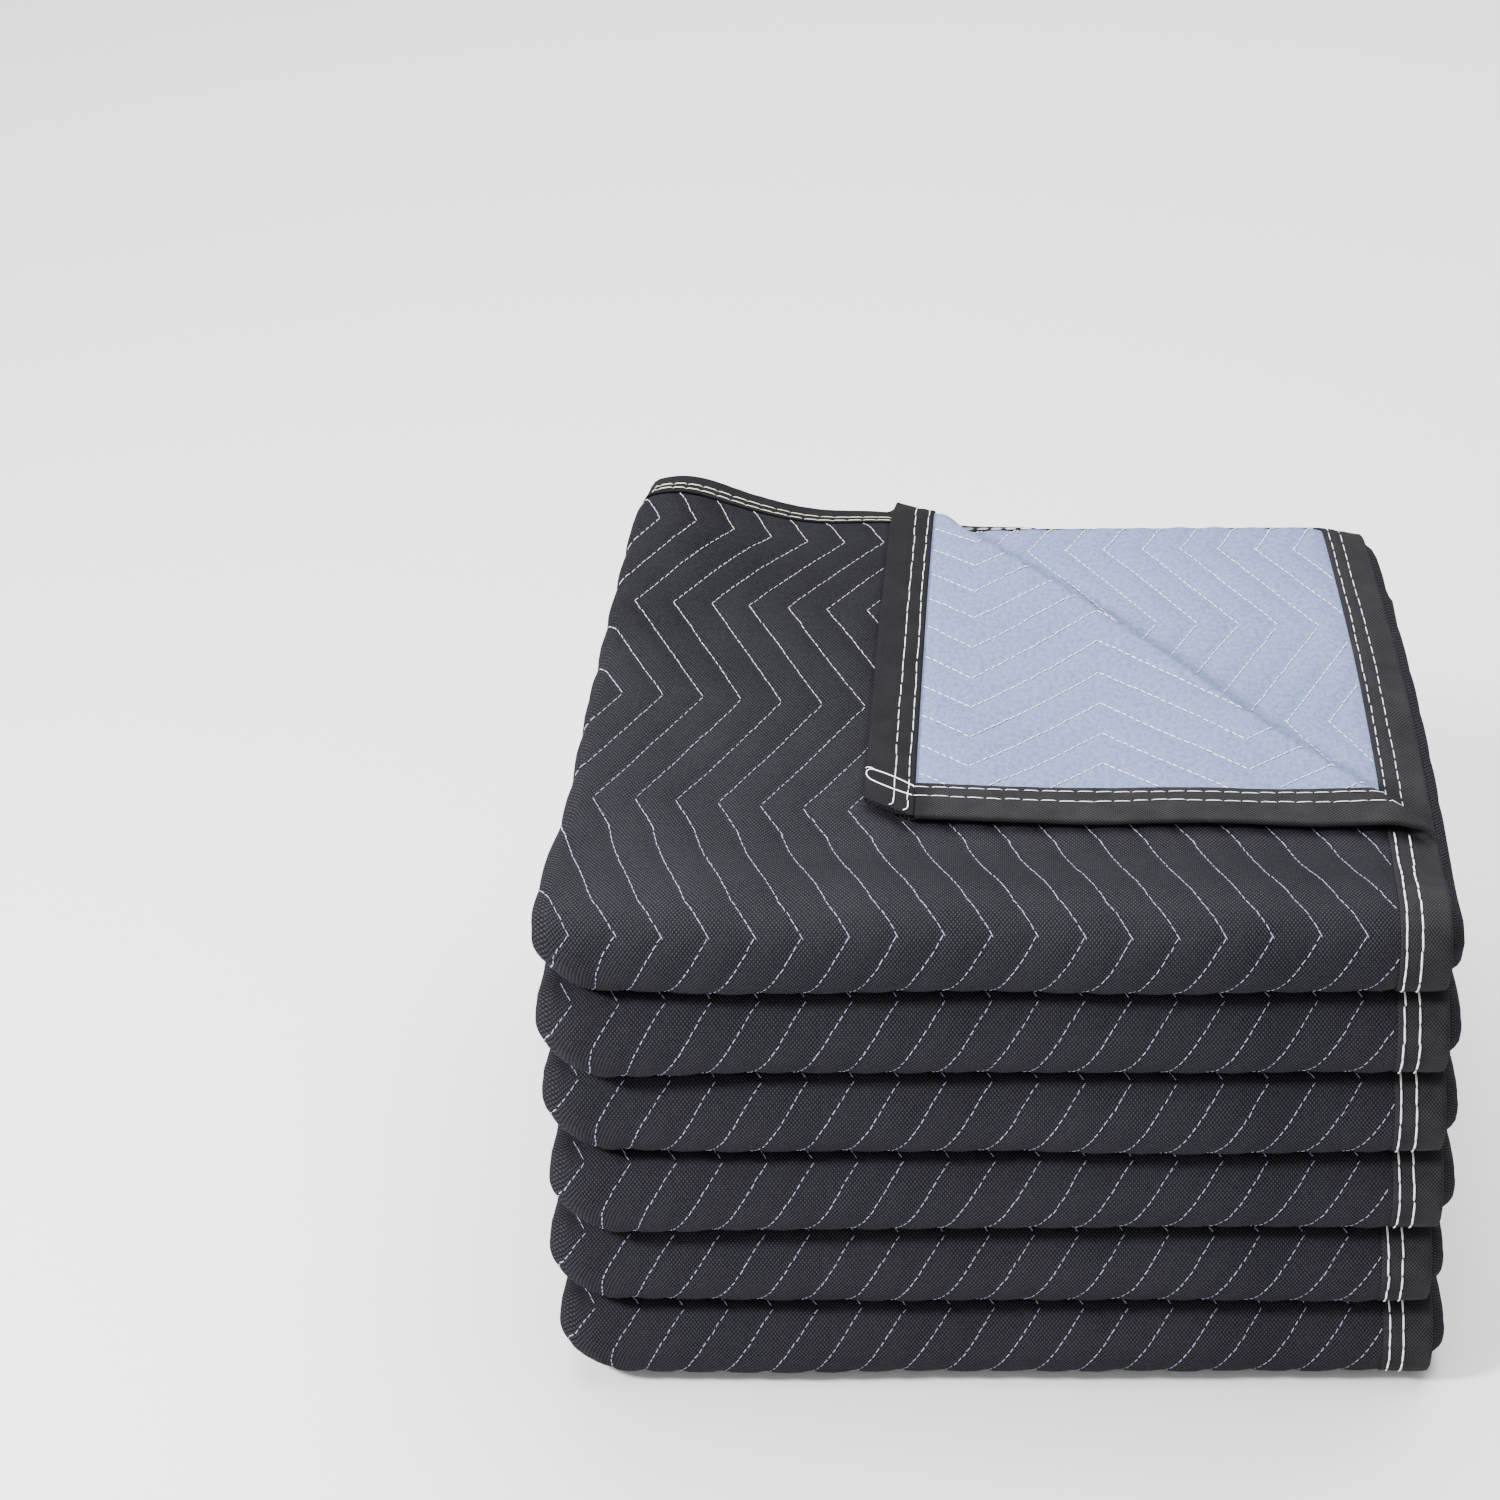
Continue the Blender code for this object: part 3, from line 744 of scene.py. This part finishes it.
# %% Sockets that add and multiply
class Wire:
    """A socket of a finish, or a sum of such sockets."""

    def __init__(self, tree, socket):
        self.tree = tree
        self.socket = socket

    def node(self, kind, settings=(), out=0, **inputs):
        """Adds any node: its type, its settings, and the values or links of its sockets."""
        made = self.tree.nodes.new(kind)
        for key, value in dict(settings).items():
            if key == "stops":
                for stop, (place, shade) in zip(made.color_ramp.elements, value):
                    stop.position = place
                    stop.color = (shade, shade, shade, 1)
            else:
                setattr(made, key, value)
        for key, value in inputs.items():
            socket = made.inputs[int(key[1:])] if key[0] == "_" else made.inputs[key.replace("_", " ")]
            if isinstance(value, Wire):
                self.tree.links.new(value.socket, socket)
            else:
                socket.default_value = value
        return Wire(self.tree, made.outputs[out])

    def maths(self, operation, first, second):
        return self.node("ShaderNodeMath", {"operation": operation}, _0=first, _1=second)

    def __add__(self, other):
        return self.maths("ADD", self, other)

    def __mul__(self, other):
        return self.maths("MULTIPLY", self, other)

    __radd__ = __add__
    __rmul__ = __mul__

    def mix(self, first, second):
        """From the first colour to the second as this goes from 0 to 1."""
        settings = {"data_type": "RGBA"}
        return self.node("ShaderNodeMix", settings, out=2, _0=self, _6=first, _7=second)


def new_finish(name, roughness):
    """A material with its shader, and a wire to the piece's own cloth coordinates."""
    made = bpy.data.materials.new(name)
    made.use_nodes = True
    tree = made.node_tree
    shader = tree.nodes["Principled BSDF"]
    shader.inputs["Roughness"].default_value = roughness
    shader.inputs["Specular IOR Level"].default_value = 0.03
    start = Wire(tree, None)
    cloth = start.node("ShaderNodeUVMap", {"uv_map": "cloth"})
    return made, shader, cloth


def noise(cloth, scale, detail, roughness=0.5):
    """A noise in the cloth's own coordinates."""
    inputs = {"Vector": cloth, "Scale": scale, "Detail": detail, "Roughness": roughness}
    return cloth.node("ShaderNodeTexNoise", **inputs)


def connect(shader, colour, height, distance, strength):
    """Gives the shader its colour, and its relief from a height."""
    relief = height.node("ShaderNodeBump", Strength=strength, Distance=distance, Height=height)
    height.tree.links.new(colour.socket, shader.inputs["Base Color"])
    height.tree.links.new(relief.socket, shader.inputs["Normal"])


print("finishes are ready to be mixed")

# %% [markdown]
# ## Cloth and binding finishes
#
# The dark face is a matt non-woven felt, nearly black, with paler fibres caught in it and the
# fine diagonal grid of its bonding, whose pale dots are painted stronger towards the front as a
# painted sheen. The light face is the same stuff in a dusty blue. Both change slowly in shade,
# where the wadding shows through. The binding is a dark tape, with painted shade on its end
# strips. All of them read the cloth's own coordinates, so the grain bends with the folds.

# %% Dark face and blue face
def diagonal_dots(cloth, scale):
    """The fine diagonal grid of a bonded cloth: two sets of bands, bright where they cross."""
    bands = []
    for lean in (40, -40):
        turned = cloth.node("ShaderNodeMapping", Vector=cloth, Rotation=(0, 0, math.radians(lean)))
        bands.append(cloth.node("ShaderNodeTexWave", {"bands_direction": "X"}, out=1, Vector=turned,
                                Scale=scale, Distortion=0.8, Detail=1.0, Detail_Scale=2.0))
    return bands[0] * bands[1]


def felt(name, shade, pale, roughness, grain, mottle):
    """A felted face: a shade, paler fibres, slow changes, a fine diagonal grain and a painted sheen."""
    made, shader, cloth = new_finish(name, roughness)
    fibres = noise(cloth, 700.0, 3.0, 0.7)
    clouds = noise(cloth, 14.0, 3.0, 0.6)
    patches = noise(cloth, 260.0, 3.0, 0.65)
    along = cloth.node("ShaderNodeSeparateXYZ", out=1, Vector=cloth)
    # Painted sheen: the grain's pale dots grow from 0.35 to full strength from the back of the top
    # towards its nose, so the front comes out lighter.
    painted_sheen_to_front = cloth.node("ShaderNodeMapRange", Value=along, From_Min=0.15, From_Max=0.45, To_Min=0.35)
    weave = diagonal_dots(cloth, 150.0) * painted_sheen_to_front
    flecks = cloth.node("ShaderNodeValToRGB", {"stops": ((0.50, 0), (0.74, 1))}, Fac=fibres)
    blotches = cloth.node("ShaderNodeValToRGB", {"stops": ((0.35, 0), (0.65, 1))}, Fac=patches)
    mask = flecks * 0.22 + clouds * 0.24 + blotches * mottle + weave * grain
    colour = mask.mix((*shade, 1), (*pale, 1))
    connect(shader, colour, fibres * 0.6 + weave * (grain * 1.5) + patches * 0.5, 0.0006, 0.6)
    return made


dark_face = felt("dark_face", (0.002, 0.002, 0.003), (0.040, 0.040, 0.047), 0.90, 0.95, 0.10)
blue_face = felt("blue_face", (0.100, 0.133, 0.262), (0.272, 0.316, 0.488), 0.95, 0.10, 0.38)
print("felt finishes:", dark_face.name, blue_face.name)

# %% Binding tape and threads
def tape_finish():
    """Dark tape, bonded like the cloth, a little worn, with painted shade darkening its end strips."""
    made, shader, cloth = new_finish("binding_tape", 0.82)
    worn = noise(cloth, 45.0, 4.0, 0.65)
    weave = diagonal_dots(cloth, 170.0)
    along = cloth.node("ShaderNodeSeparateXYZ", out=1, Vector=cloth)
    # Painted shade: the end strips, one of which edges the turned corner and hangs over at the left, are
    # darkened to 0.55 of their tone.
    end = cloth.node("ShaderNodeMapRange", Value=along, From_Min=0.040, From_Max=0.050, To_Min=0.55)
    mask = (worn * 0.5 + weave * 0.8) * end
    colour = mask.mix((0.003, 0.003, 0.004, 1), (0.040, 0.040, 0.044, 1))
    connect(shader, colour, weave * 0.7 + worn, 0.0004, 0.5)
    return made


def thread_finish(name, back, front):
    """Spun thread, of one shade at the back of the stack and another at the front."""
    made, shader, cloth = new_finish(name, 0.75)
    fluff = noise(cloth, 700.0, 2.0)
    along = cloth.node("ShaderNodeSeparateXYZ", out=1, Vector=cloth)
    nearer = cloth.node("ShaderNodeMapRange", Value=along, From_Min=0.15, From_Max=0.42)
    shade = nearer.mix((*back, 1), (*front, 1))
    pale = fluff.node("ShaderNodeHueSaturation", Color=shade, Value=1.35)
    colour = fluff.mix(shade, pale)
    connect(shader, colour, fluff, 0.0002, 0.4)
    return made


binding = tape_finish()
pale_thread = thread_finish("pale_thread", (0.50, 0.50, 0.50), (0.30, 0.30, 0.42))
white_thread = thread_finish("white_thread", (0.86, 0.86, 0.87), (0.80, 0.78, 0.80))
cream_thread = thread_finish("cream_thread", (0.62, 0.60, 0.47), (0.62, 0.60, 0.47))
print("tape and thread finishes:", binding.name, pale_thread.name, white_thread.name, cream_thread.name)

# %% [markdown]
# ## The six cloths
#
# Each blanket is one quilted cloth with all its folds. The top one shows most, so its grid is
# the finest, and it alone is scored along its crease.

# %% Make the cloths
for lay in STACK:
    points, faces = flat_sheet(lay, 6 if lay is TOP else 4)
    if lay is TOP:
        level_points = np.column_stack([points, np.zeros(len(points))])
        points, faces = score_crease(level_points, faces, beyond=(ROLL_ARC + 0.005,))
        points = points[:, :2]
    flat, triangles, side = close_sheet(points, faces, lay)
    name = lay.name + "_quilted"
    new_piece(name, flat, triangles, lay, (dark_face, blue_face), side)
    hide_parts(lay.name + "_cloth")
    print(name, len(triangles), "triangles")

# %% [markdown]
# ## Binding
#
# A strip of tape is folded round every edge of the blanket and sewn down with two rows of long
# stitches. It is drawn as a section, swept along the edge with the rounding of the fold at the
# outside and a dent under each row, and goes through the same folds. The end strips run the
# whole width, and the side strips fit between them.

# %% Section of the tape
SEWN_AT = (TAPE_WIDTH - 0.0045, TAPE_WIDTH - 0.0145)
DENT = 0.0006
DENT_WIDTH = 0.0016
TAPE_RISE = 0.0004
WRINKLE = 0.00018


def tape_section(fine):
    """The tape's section as distances in from the edge, and heights."""
    outer = PLY / 2
    inner = outer - TAPE
    inward = [0.0012, 0.003, 0.008, 0.014, 0.018, 0.0205, 0.023, 0.027, 0.0305, 0.033, TAPE_WIDTH]
    if not fine:
        inward = [0.0012, 0.004, 0.014, 0.0205, 0.026, 0.0305, TAPE_WIDTH]
    top = []
    for place in inward:
        dent = sum(math.exp(-((place - sewn) / DENT_WIDTH) ** 2) for sewn in SEWN_AT)
        edge = 0.0003 * (place == TAPE_WIDTH)
        top.append((place, outer + TAPE_RISE - DENT * dent - edge))
    rounding = [(0.0003, outer * 0.75), (0, outer * 0.3), (0, -outer * 0.3), (0.0003, -outer * 0.75)]
    inside = [(TAPE_WIDTH, -inner), (0.0012, -inner), (0.0012, inner), (TAPE_WIDTH, inner)]
    under = [(place, -height) for place, height in top]
    return inside + top[::-1] + rounding + under


print("tape section:", len(tape_section(True)), "points")


# %% Strips of tape
def strip_steps(edge, step):
    """Places along a strip of tape, close where it bends."""
    if edge in ("back", "under"):
        steps = evenly(0, LEFT_FOLD, step) + evenly(LEFT_FOLD, LEFT_END, RIDGE_STEP)
        steps += evenly(LEFT_END, RIGHT_FOLD, 0.02) + evenly(RIGHT_FOLD, RIGHT_END, RIDGE_STEP)
        return np.array(steps + evenly(RIGHT_END, WIDTH, 0.02) + [WIDTH])
    last = LENGTH - HEM_INNER
    steps = evenly(HEM_INNER, NOSE_END, step) + evenly(NOSE_END, TURN_START, 0.03)
    steps += evenly(TURN_START, TURN_END, TURN_STEP) + evenly(TURN_END, LENGTH - NOSE_END, 0.03)
    return np.array(steps + evenly(LENGTH - NOSE_END, last, step) + [last])


def on_edge(edge, inward, run, height):
    """A tape's own distances as u, v and height of the cloth."""
    if edge == "right":
        return inward, run, height
    if edge == "left":
        return WIDTH - inward, run, height
    if edge == "back":
        return run, inward, height
    return run, LENGTH - inward, height


def strip_of_tape(edge, lay):
    """One closed strip of tape, flat, as points and triangles."""
    section = np.array(tape_section(lay is TOP))
    steps = strip_steps(edge, 0.0045 if lay is TOP else 0.012)
    count = len(section)
    inward = np.tile(section[:, 0], len(steps))
    height = np.tile(section[:, 1], len(steps))
    run = np.repeat(steps, count)
    seed = 90 + 7 * STACK.index(lay) + len(edge)
    height = height + np.sign(height) * WRINKLE * uneven(run, inward, 0.006, seed)
    flat = np.stack(on_edge(edge, inward, run, height), axis=1)
    start = np.arange(len(steps) - 1)[:, None] * count
    ring = np.arange(count)[None, :]
    a, b = (start + ring).ravel(), (start + (ring + 1) % count).ravel()
    c, d = b + count, a + count
    caps = [end_cap(section, 0), end_cap(section, (len(steps) - 1) * count)[:, ::-1]]
    return flat, np.concatenate([np.stack([a, b, c], 1), np.stack([a, c, d], 1), *caps])


def round_the_fold(flat, edge):
    """Where each point lies along and across the tape, counted on round its fold."""
    u, v, height = flat.T
    inward = {"right": u, "left": WIDTH - u, "back": v, "under": LENGTH - v}[edge]
    across = np.sign(height) * (inward + np.minimum(np.abs(height), PLY / 2))
    return np.column_stack([across, v] if edge in ("right", "left") else [u, across])


def end_cap(section, start):
    """Closes the end of a strip, from its open side round to the fold."""
    last = len(section) - 1
    pairs = []
    # The inside runs 0 to 3, and the outside 4 to last, from the upper free edge to the lower.
    ring = list(range(4, last + 1))
    split = len(ring) // 2
    for k in range(len(ring) - 1):
        near = 3 if k < split // 2 else 2 if k < split else 1 if k < split + split // 2 else 0
        pairs.append((near, ring[k], ring[k + 1]))
    joins = [(3, ring[split // 2], 2), (2, ring[split], 1), (1, ring[split + split // 2], 0)]
    return np.array(pairs + joins) + start


print("a side strip of the top blanket:", len(strip_of_tape("right", TOP)[0]), "points")

# %% Bind the six blankets
bindings = {}
for lay in STACK:
    for edge in EDGES:
        flat, triangles = strip_of_tape(edge, lay)
        if lay is TOP and edge in ("right", "back"):
            flat, triangles = score_crease(flat, triangles)
        name = f"{lay.name}_tape_{edge}"
        strip = new_piece(name, flat, triangles, lay, (binding,), pattern=round_the_fold(flat, edge))
        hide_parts(f"{lay.name}_binding_{edge}")
        bindings[lay.name, edge] = strip
    count = sum(len(bindings[lay.name, edge].data.polygons) for edge in EDGES)
    print(lay.name, "bound with", count, "triangles")

# %% [markdown]
# ## Stitches
#
# Each stitch is a short thick thread, sunk at both ends. It is made flat, like the cloth, as a
# four-sided capsule along its line, and then folded with it. One blanket's quilting stitches are
# one mesh and its binding stitches another, because there are thousands. Only the faces that can
# be seen are stitched.

# %% One mesh of many stitches
RING = ((0.0, 1.0), (1.0, 0.0), (0.0, -0.6), (-1.0, 0.0))
ALONG = ((-0.5, 0.55, -0.5), (-0.30, 1.0, 0.45), (0.30, 1.0, 0.45), (0.5, 0.55, -0.5))


def capsules(centres, directions, lengths, widths, lifts, side):
    """Stitches as flat points and triangles: each four rings of four points."""
    count = len(centres)
    across = np.stack([-directions[:, 1], directions[:, 0]], axis=1)
    rings = []
    for place, thick, rise in ALONG:
        for wide, high in RING:
            spot = centres + directions * (lengths * place)[:, None]
            spot = spot + across * (widths * wide * thick / 2)[:, None]
            height = side * (lifts + widths * (rise * 0.5 + high * thick * 0.45))
            rings.append(np.column_stack([spot, height]))
    points = np.stack(rings, axis=1)
    faces = []
    for ring in range(3):
        for k in range(4):
            a, b = ring * 4 + k, ring * 4 + (k + 1) % 4
            faces += [(a, b, b + 4), (a, b + 4, a + 4)]
    faces += [(2, 1, 0), (3, 2, 0), (12, 13, 14), (12, 14, 15)]
    faces = np.array(faces)
    if side > 0:
        faces = faces[:, ::-1]
    triangles = faces[None] + (np.arange(count) * 16)[:, None, None]
    return points.reshape(-1, 3), triangles.reshape(-1, 3)


def joined(pieces):
    """Several meshes' points and triangles as one."""
    points, faces, start = [], [], 0
    for some_points, some_faces in pieces:
        points.append(some_points)
        faces.append(some_faces + start)
        start += len(some_points)
    return np.concatenate(points), np.concatenate(faces)


print("points round a stitch:", len(RING), "in each of", len(ALONG), "rings")

# %% Stitches of the quilting
PITCH = 0.0058
STITCH = 0.0050
THREAD_WIDTH = {1: 0.00060, -1: 0.00085}
THREAD_LIFT = {1: 0.00035, -1: 0.00050}
JITTER = 0.00016
WANDER = 0.0007

# Shade is the number of the finish, and side is 1 on the dark face and -1 on the light one.
Line = namedtuple("Line", "shade side inside start end seed")


def quilting_stitches(lay, line):
    """Stitches along every chevron line on one face, where the face lies open."""
    side = line.side
    seed = line.seed + STACK.index(lay)
    rng = np.random.default_rng(seed)
    turns = [row for row, _ in rows_on(lay) if line.start < row < line.end]
    edges = [line.start, *turns, line.end]
    centres, directions = [], []
    for low, high in zip(edges, edges[1:]):
        lean = np.array([swing(low, lay) - swing(high, lay), high - low])
        length = np.linalg.norm(lean)
        steps = np.arange(PITCH / 2, length, PITCH) / length
        for number in range(-1, 24):
            start = np.array([line_place(number, low, lay), low])
            spots = start + steps[:, None] * lean + rng.normal(0, JITTER, (len(steps), 2))
            spots[:, 0] += WANDER * uneven(spots[:, 1] + 1, number * 1.7 + 9, 0.028, seed + 300)
            kept = line.inside(spots[:, 0], spots[:, 1])
            centres.append(spots[kept])
            directions.append(np.tile(lean / length, (kept.sum(), 1)))
    centres, directions = np.concatenate(centres), np.concatenate(directions)
    swerve = rng.normal(0, 0.05, len(centres))
    directions = directions + np.stack([-directions[:, 1] * swerve, directions[:, 0] * swerve], axis=1)
    tight = np.where(directions[:, 0] > 0, 0.84, 1.03) if side > 0 else 0.90
    lengths = rng.normal(STITCH, 0.0004, len(centres)) * tight
    widths = rng.normal(THREAD_WIDTH[side], 0.00006, len(centres))
    lifts = face_height(centres[:, 0], centres[:, 1], side, lay) + THREAD_LIFT[side]
    return capsules(centres, directions, lengths, widths, lifts, side)


print("quilting stitches:", STITCH, "m long, one every", PITCH, "m")

# %% Stitches of the binding
Seam = namedtuple("Seam", "shade edge side pitch length width start end seed")


def tape_stitches(lay, seam):
    """Both rows of stitches on one face of a strip of tape, along a stretch of it."""
    edge, pitch = seam.edge, seam.pitch
    seed = seam.seed + STACK.index(lay)
    rng = np.random.default_rng(seed)
    pieces = []
    for sewn in SEWN_AT:
        run = np.arange(seam.start + pitch / 2, seam.end - pitch / 2, pitch)
        run = run + rng.normal(0, pitch * 0.03, len(run))
        inward = sewn + 0.0006 * uneven(run, sewn * 90, 0.05, seed) + rng.normal(0, 0.00015, len(run))
        u, v, _ = on_edge(edge, inward, run, 0)
        u, v = np.broadcast_arrays(u, v)
        towards = (1, 0) if edge in ("back", "under") else (0, 1)
        directions = np.tile(np.array(towards, float), (len(run), 1))
        directions += rng.normal(0, 0.02, directions.shape)
        lengths = rng.normal(seam.length, seam.length * 0.04, len(run))
        widths = np.full(len(run), seam.width)
        lifts = np.full(len(run), PLY / 2 + THREAD_LIFT[1])
        pieces.append(capsules(np.stack([u, v], 1), directions, lengths, widths, lifts, seam.side))
    return joined(pieces)


print("each strip of tape has", len(SEWN_AT), "rows of stitches")


# %% One loose thread
def loose_thread(path, thick, side):
    """A thread that lies on the tape along a path of flat points."""
    path = np.array(path)
    for _ in range(2):
        middles = (path[:-1] + path[1:]) / 2
        cut = np.stack([(middles + path[:-1]) / 2, (middles + path[1:]) / 2], 1)
        path = np.concatenate([path[:1], cut.reshape(-1, 2), path[-1:]])
    ahead = np.gradient(path, axis=0)
    ahead /= np.linalg.norm(ahead, axis=1, keepdims=True)
    across = np.stack([-ahead[:, 1], ahead[:, 0]], axis=1)
    lift = PLY / 2 + 0.0007 + 0.0003 * np.sin(np.linspace(0, np.pi, len(path)))
    angles = np.arange(6) * math.pi / 3
    rings = []
    for angle in angles:
        spots = path + across * math.cos(angle) * thick / 2
        rings.append(np.column_stack([spots, side * (lift + math.sin(angle) * thick / 2)]))
    points = np.stack(rings, axis=1).reshape(-1, 3)
    start = (np.arange(len(path) - 1) * 6)[:, None]
    ring = np.arange(6)[None, :]
    a, b = (start + ring).ravel(), (start + (ring + 1) % 6).ravel()
    faces = [np.stack([a, b, b + 6], 1), np.stack([a, b + 6, a + 6], 1)]
    last = len(points) - 6
    cap = np.array([(0, k + 1, k) for k in range(1, 5)])
    faces += [cap, cap[:, ::-1] + last]
    return points, np.concatenate(faces)


print("a short loose thread:", len(loose_thread([(0, 0), (0, 0.01)], 0.0008, 1)[0]), "points")


# %% Where each face is stitched
SEWN_FROM = HEM_INNER + 0.001
SEWN_TO = NOSE_END - 0.006


def open_dark(u, v):
    """The dark face of the top blanket, where no turned corner lies on it."""
    covered = (u < CORNER - 0.020) & (v < CORNER - 0.020)
    turned = u + v < CORNER + 0.006
    return (u > SEWN_FROM) & (u < LEFT_END) & ~covered & ~turned


def turned_light(u, v):
    """The light face of the turned corner."""
    return (u > SEWN_FROM) & (u + v < CORNER - ROLL_ARC * 0.75 * math.sqrt(2))


def bare_light(u, v):
    """The light face that the turned corner lays bare."""
    return (u > SEWN_FROM) & (u + LENGTH - v < CORNER + 0.01)


def nose_dark(u, v):
    """The dark face of a lower blanket's nose."""
    return (u > SEWN_FROM) & (u < LEFT_END)


TOP_LINES = (
    Line(1, 1, open_dark, SEWN_FROM, SEWN_TO, 195),
    Line(2, -1, turned_light, SEWN_FROM, CORNER, 196),
    Line(2, -1, bare_light, LENGTH - CORNER - 0.010, LENGTH - HEM_INNER - 0.001, 197),
)
LOWER_LINES = (Line(1, 1, nose_dark, TOP_RUN - 0.004, SEWN_TO, 220),)
TOP_SEAMS = (
    Seam(1, "right", 1, 0.0125, 0.0122, 0.0013, CORNER - 0.016, SEWN_TO, 205),
    Seam(1, "right", -1, 0.0125, 0.0110, 0.0007, 0.0330, CORNER - 0.025, 206),
    Seam(1, "back", -1, 0.0125, 0.0110, 0.0007, 0.0150, CORNER - 0.025, 207),
    Seam(2, "back", 1, 0.0125, 0.0120, 0.0008, CORNER - 0.010, LEFT_END, 208),
    Seam(1, "under", -1, 0.0125, 0.0095, 0.0006, 0, CORNER, 209),
    Seam(1, "right", -1, 0.0110, 0.0085, 0.0007, LENGTH - CORNER, LENGTH - 0.033, 210),
)
LOWER_SEAMS = (
    Seam(1, "right", 1, 0.0125, 0.0122, 0.0013, TOP_RUN - 0.020, SEWN_TO, 230),
    Seam(2, "back", 1, 0.0125, 0.0110, 0.0010, 0, LEFT_END, 240),
)
print("runs of stitches on the top blanket:", len(TOP_LINES) + len(TOP_SEAMS))

# %% Loose threads of the turned corner
# The two rows of the long side run on over the end strip and turn back in one loop, and the rows
# of the end strip end in small hooks. All points are flat, near the corner of the cloth.
LOOP = (
    (0.0305, 0.0340), (0.0340, 0.0290), (0.0400, 0.0200), (0.0460, 0.0085), (0.0475, 0.0040),
    (0.0460, 0.0012), (0.0415, 0.0006), (0.0365, 0.0030), (0.0320, 0.0100), (0.0260, 0.0210),
    (0.0205, 0.0330),
)
SPARE_END = ((0.0460, 0.0075), (0.0490, 0.0040), (0.0495, 0.0015), (0.0485, 0.0002))
HOOKS = (
    ((0.0170, 0.0205), (0.0120, 0.0205), (0.0100, 0.0195), (0.0098, 0.0178)),
    ((0.0140, 0.0305), (0.0080, 0.0307), (0.0050, 0.0300), (0.0042, 0.0275)),
)
loose = [loose_thread(path, 0.0008, -1) for path in (LOOP, SPARE_END, *HOOKS)]
print(len(loose), "loose threads")

# %% Stitch the six blankets
def thread_piece(ending, runs, lay, finishes):
    """One object of several runs of stitches, each with the number of its finish."""
    shades = [np.full(len(faces), number - 1, np.int32) for number, (_, faces) in runs]
    points, faces = joined([threads for _, threads in runs])
    return new_piece(lay.name + ending, points, faces, lay, finishes, np.concatenate(shades))


for lay in STACK:
    lines, seams = (TOP_LINES, TOP_SEAMS) if lay is TOP else (LOWER_LINES, LOWER_SEAMS)
    quilted = [(line.shade, quilting_stitches(lay, line)) for line in lines]
    tacked = [(seam.shade, tape_stitches(lay, seam)) for seam in seams]
    if lay is TOP:
        tacked += [(1, thread) for thread in loose]
    quilting = thread_piece("_quilting_thread", quilted, lay, (pale_thread, white_thread))
    tacking = thread_piece("_binding_thread", tacked, lay, (white_thread, cream_thread))
    with_pieces = [quilting, tacking] + [bindings[lay.name, edge] for edge in EDGES]
    counts = [len(piece.data.polygons) for piece in (quilting, tacking)]
    print(lay.name, "stitched with", counts, "triangles")

# %% [markdown]
# ## Light, floor and camera
#
# The floor is wide and pale. A small lamp at the upper left brings out the weave, a large soft
# one hangs overhead, a weak one stands low in front, and the surround is bright. The camera
# looks down at the stack straight from the front, and the shift of its frame places the stack
# at the right of the picture.

# %% Floor
bpy.ops.object.select_all(action="DESELECT")
bpy.ops.mesh.primitive_plane_add(size=30, location=(0, 0, -0.0005))
floor = bpy.context.object
floor.name = "floor"
floor_finish = bpy.data.materials.new("floor_finish")
floor_finish.use_nodes = True
floor_shader = floor_finish.node_tree.nodes["Principled BSDF"]
floor_shader.inputs["Base Color"].default_value = (0.93, 0.93, 0.935, 1)
floor_shader.inputs["Roughness"].default_value = 0.9
floor.data.materials.append(floor_finish)
print("floor laid")


# %% Lights
def soft_light(name, place, aim, size, power):
    """A round lamp that looks at a place."""
    data = bpy.data.lights.new(name, "AREA")
    data.shape = "DISK"
    data.size = size
    data.energy = power
    lamp = bpy.data.objects.new(name, data)
    lamp.location = place
    lamp.rotation_euler = (Vector(aim) - Vector(place)).to_track_quat("-Z", "Y").to_euler()
    bpy.context.scene.collection.objects.link(lamp)


soft_light("key_light", (-1.7, -0.9, 1.9), (0, 0, 0.35), 0.4, 120)
soft_light("top_light", (0.2, 0.7, 3.6), (0, 0, 0.2), 3.2, 270)
soft_light("front_light", (-0.3, -3.4, 0.5), (0, 0, 0.2), 2.0, 16)

world = bpy.data.worlds.new("studio")
world.use_nodes = True
surround = world.node_tree.nodes["Background"]
surround.inputs["Color"].default_value = (1, 1, 1, 1)
surround.inputs["Strength"].default_value = 0.75
bpy.context.scene.world = world
print("lights:", [obj.name for obj in bpy.data.objects if obj.type == "LIGHT"])

# %% Camera
lens = bpy.data.cameras.new("camera")
lens.sensor_width = 36
lens.lens = 81.44
lens.shift_x = -0.1916
lens.clip_end = 50
camera = bpy.data.objects.new("camera", lens)
camera.location = (0.0257, -1.940, 1.8868)
camera.rotation_euler = (math.radians(90 - 37.68), 0, 0)
bpy.context.scene.collection.objects.link(camera)
bpy.context.scene.camera = camera
print("camera at", tuple(camera.location), "lens", lens.lens)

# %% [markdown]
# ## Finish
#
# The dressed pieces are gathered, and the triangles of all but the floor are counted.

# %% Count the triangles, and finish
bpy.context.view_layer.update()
made = [obj for obj in bpy.data.objects if obj.type == "MESH" and obj.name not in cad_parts]
total = sum(len(obj.data.polygons) for obj in made if obj != floor)
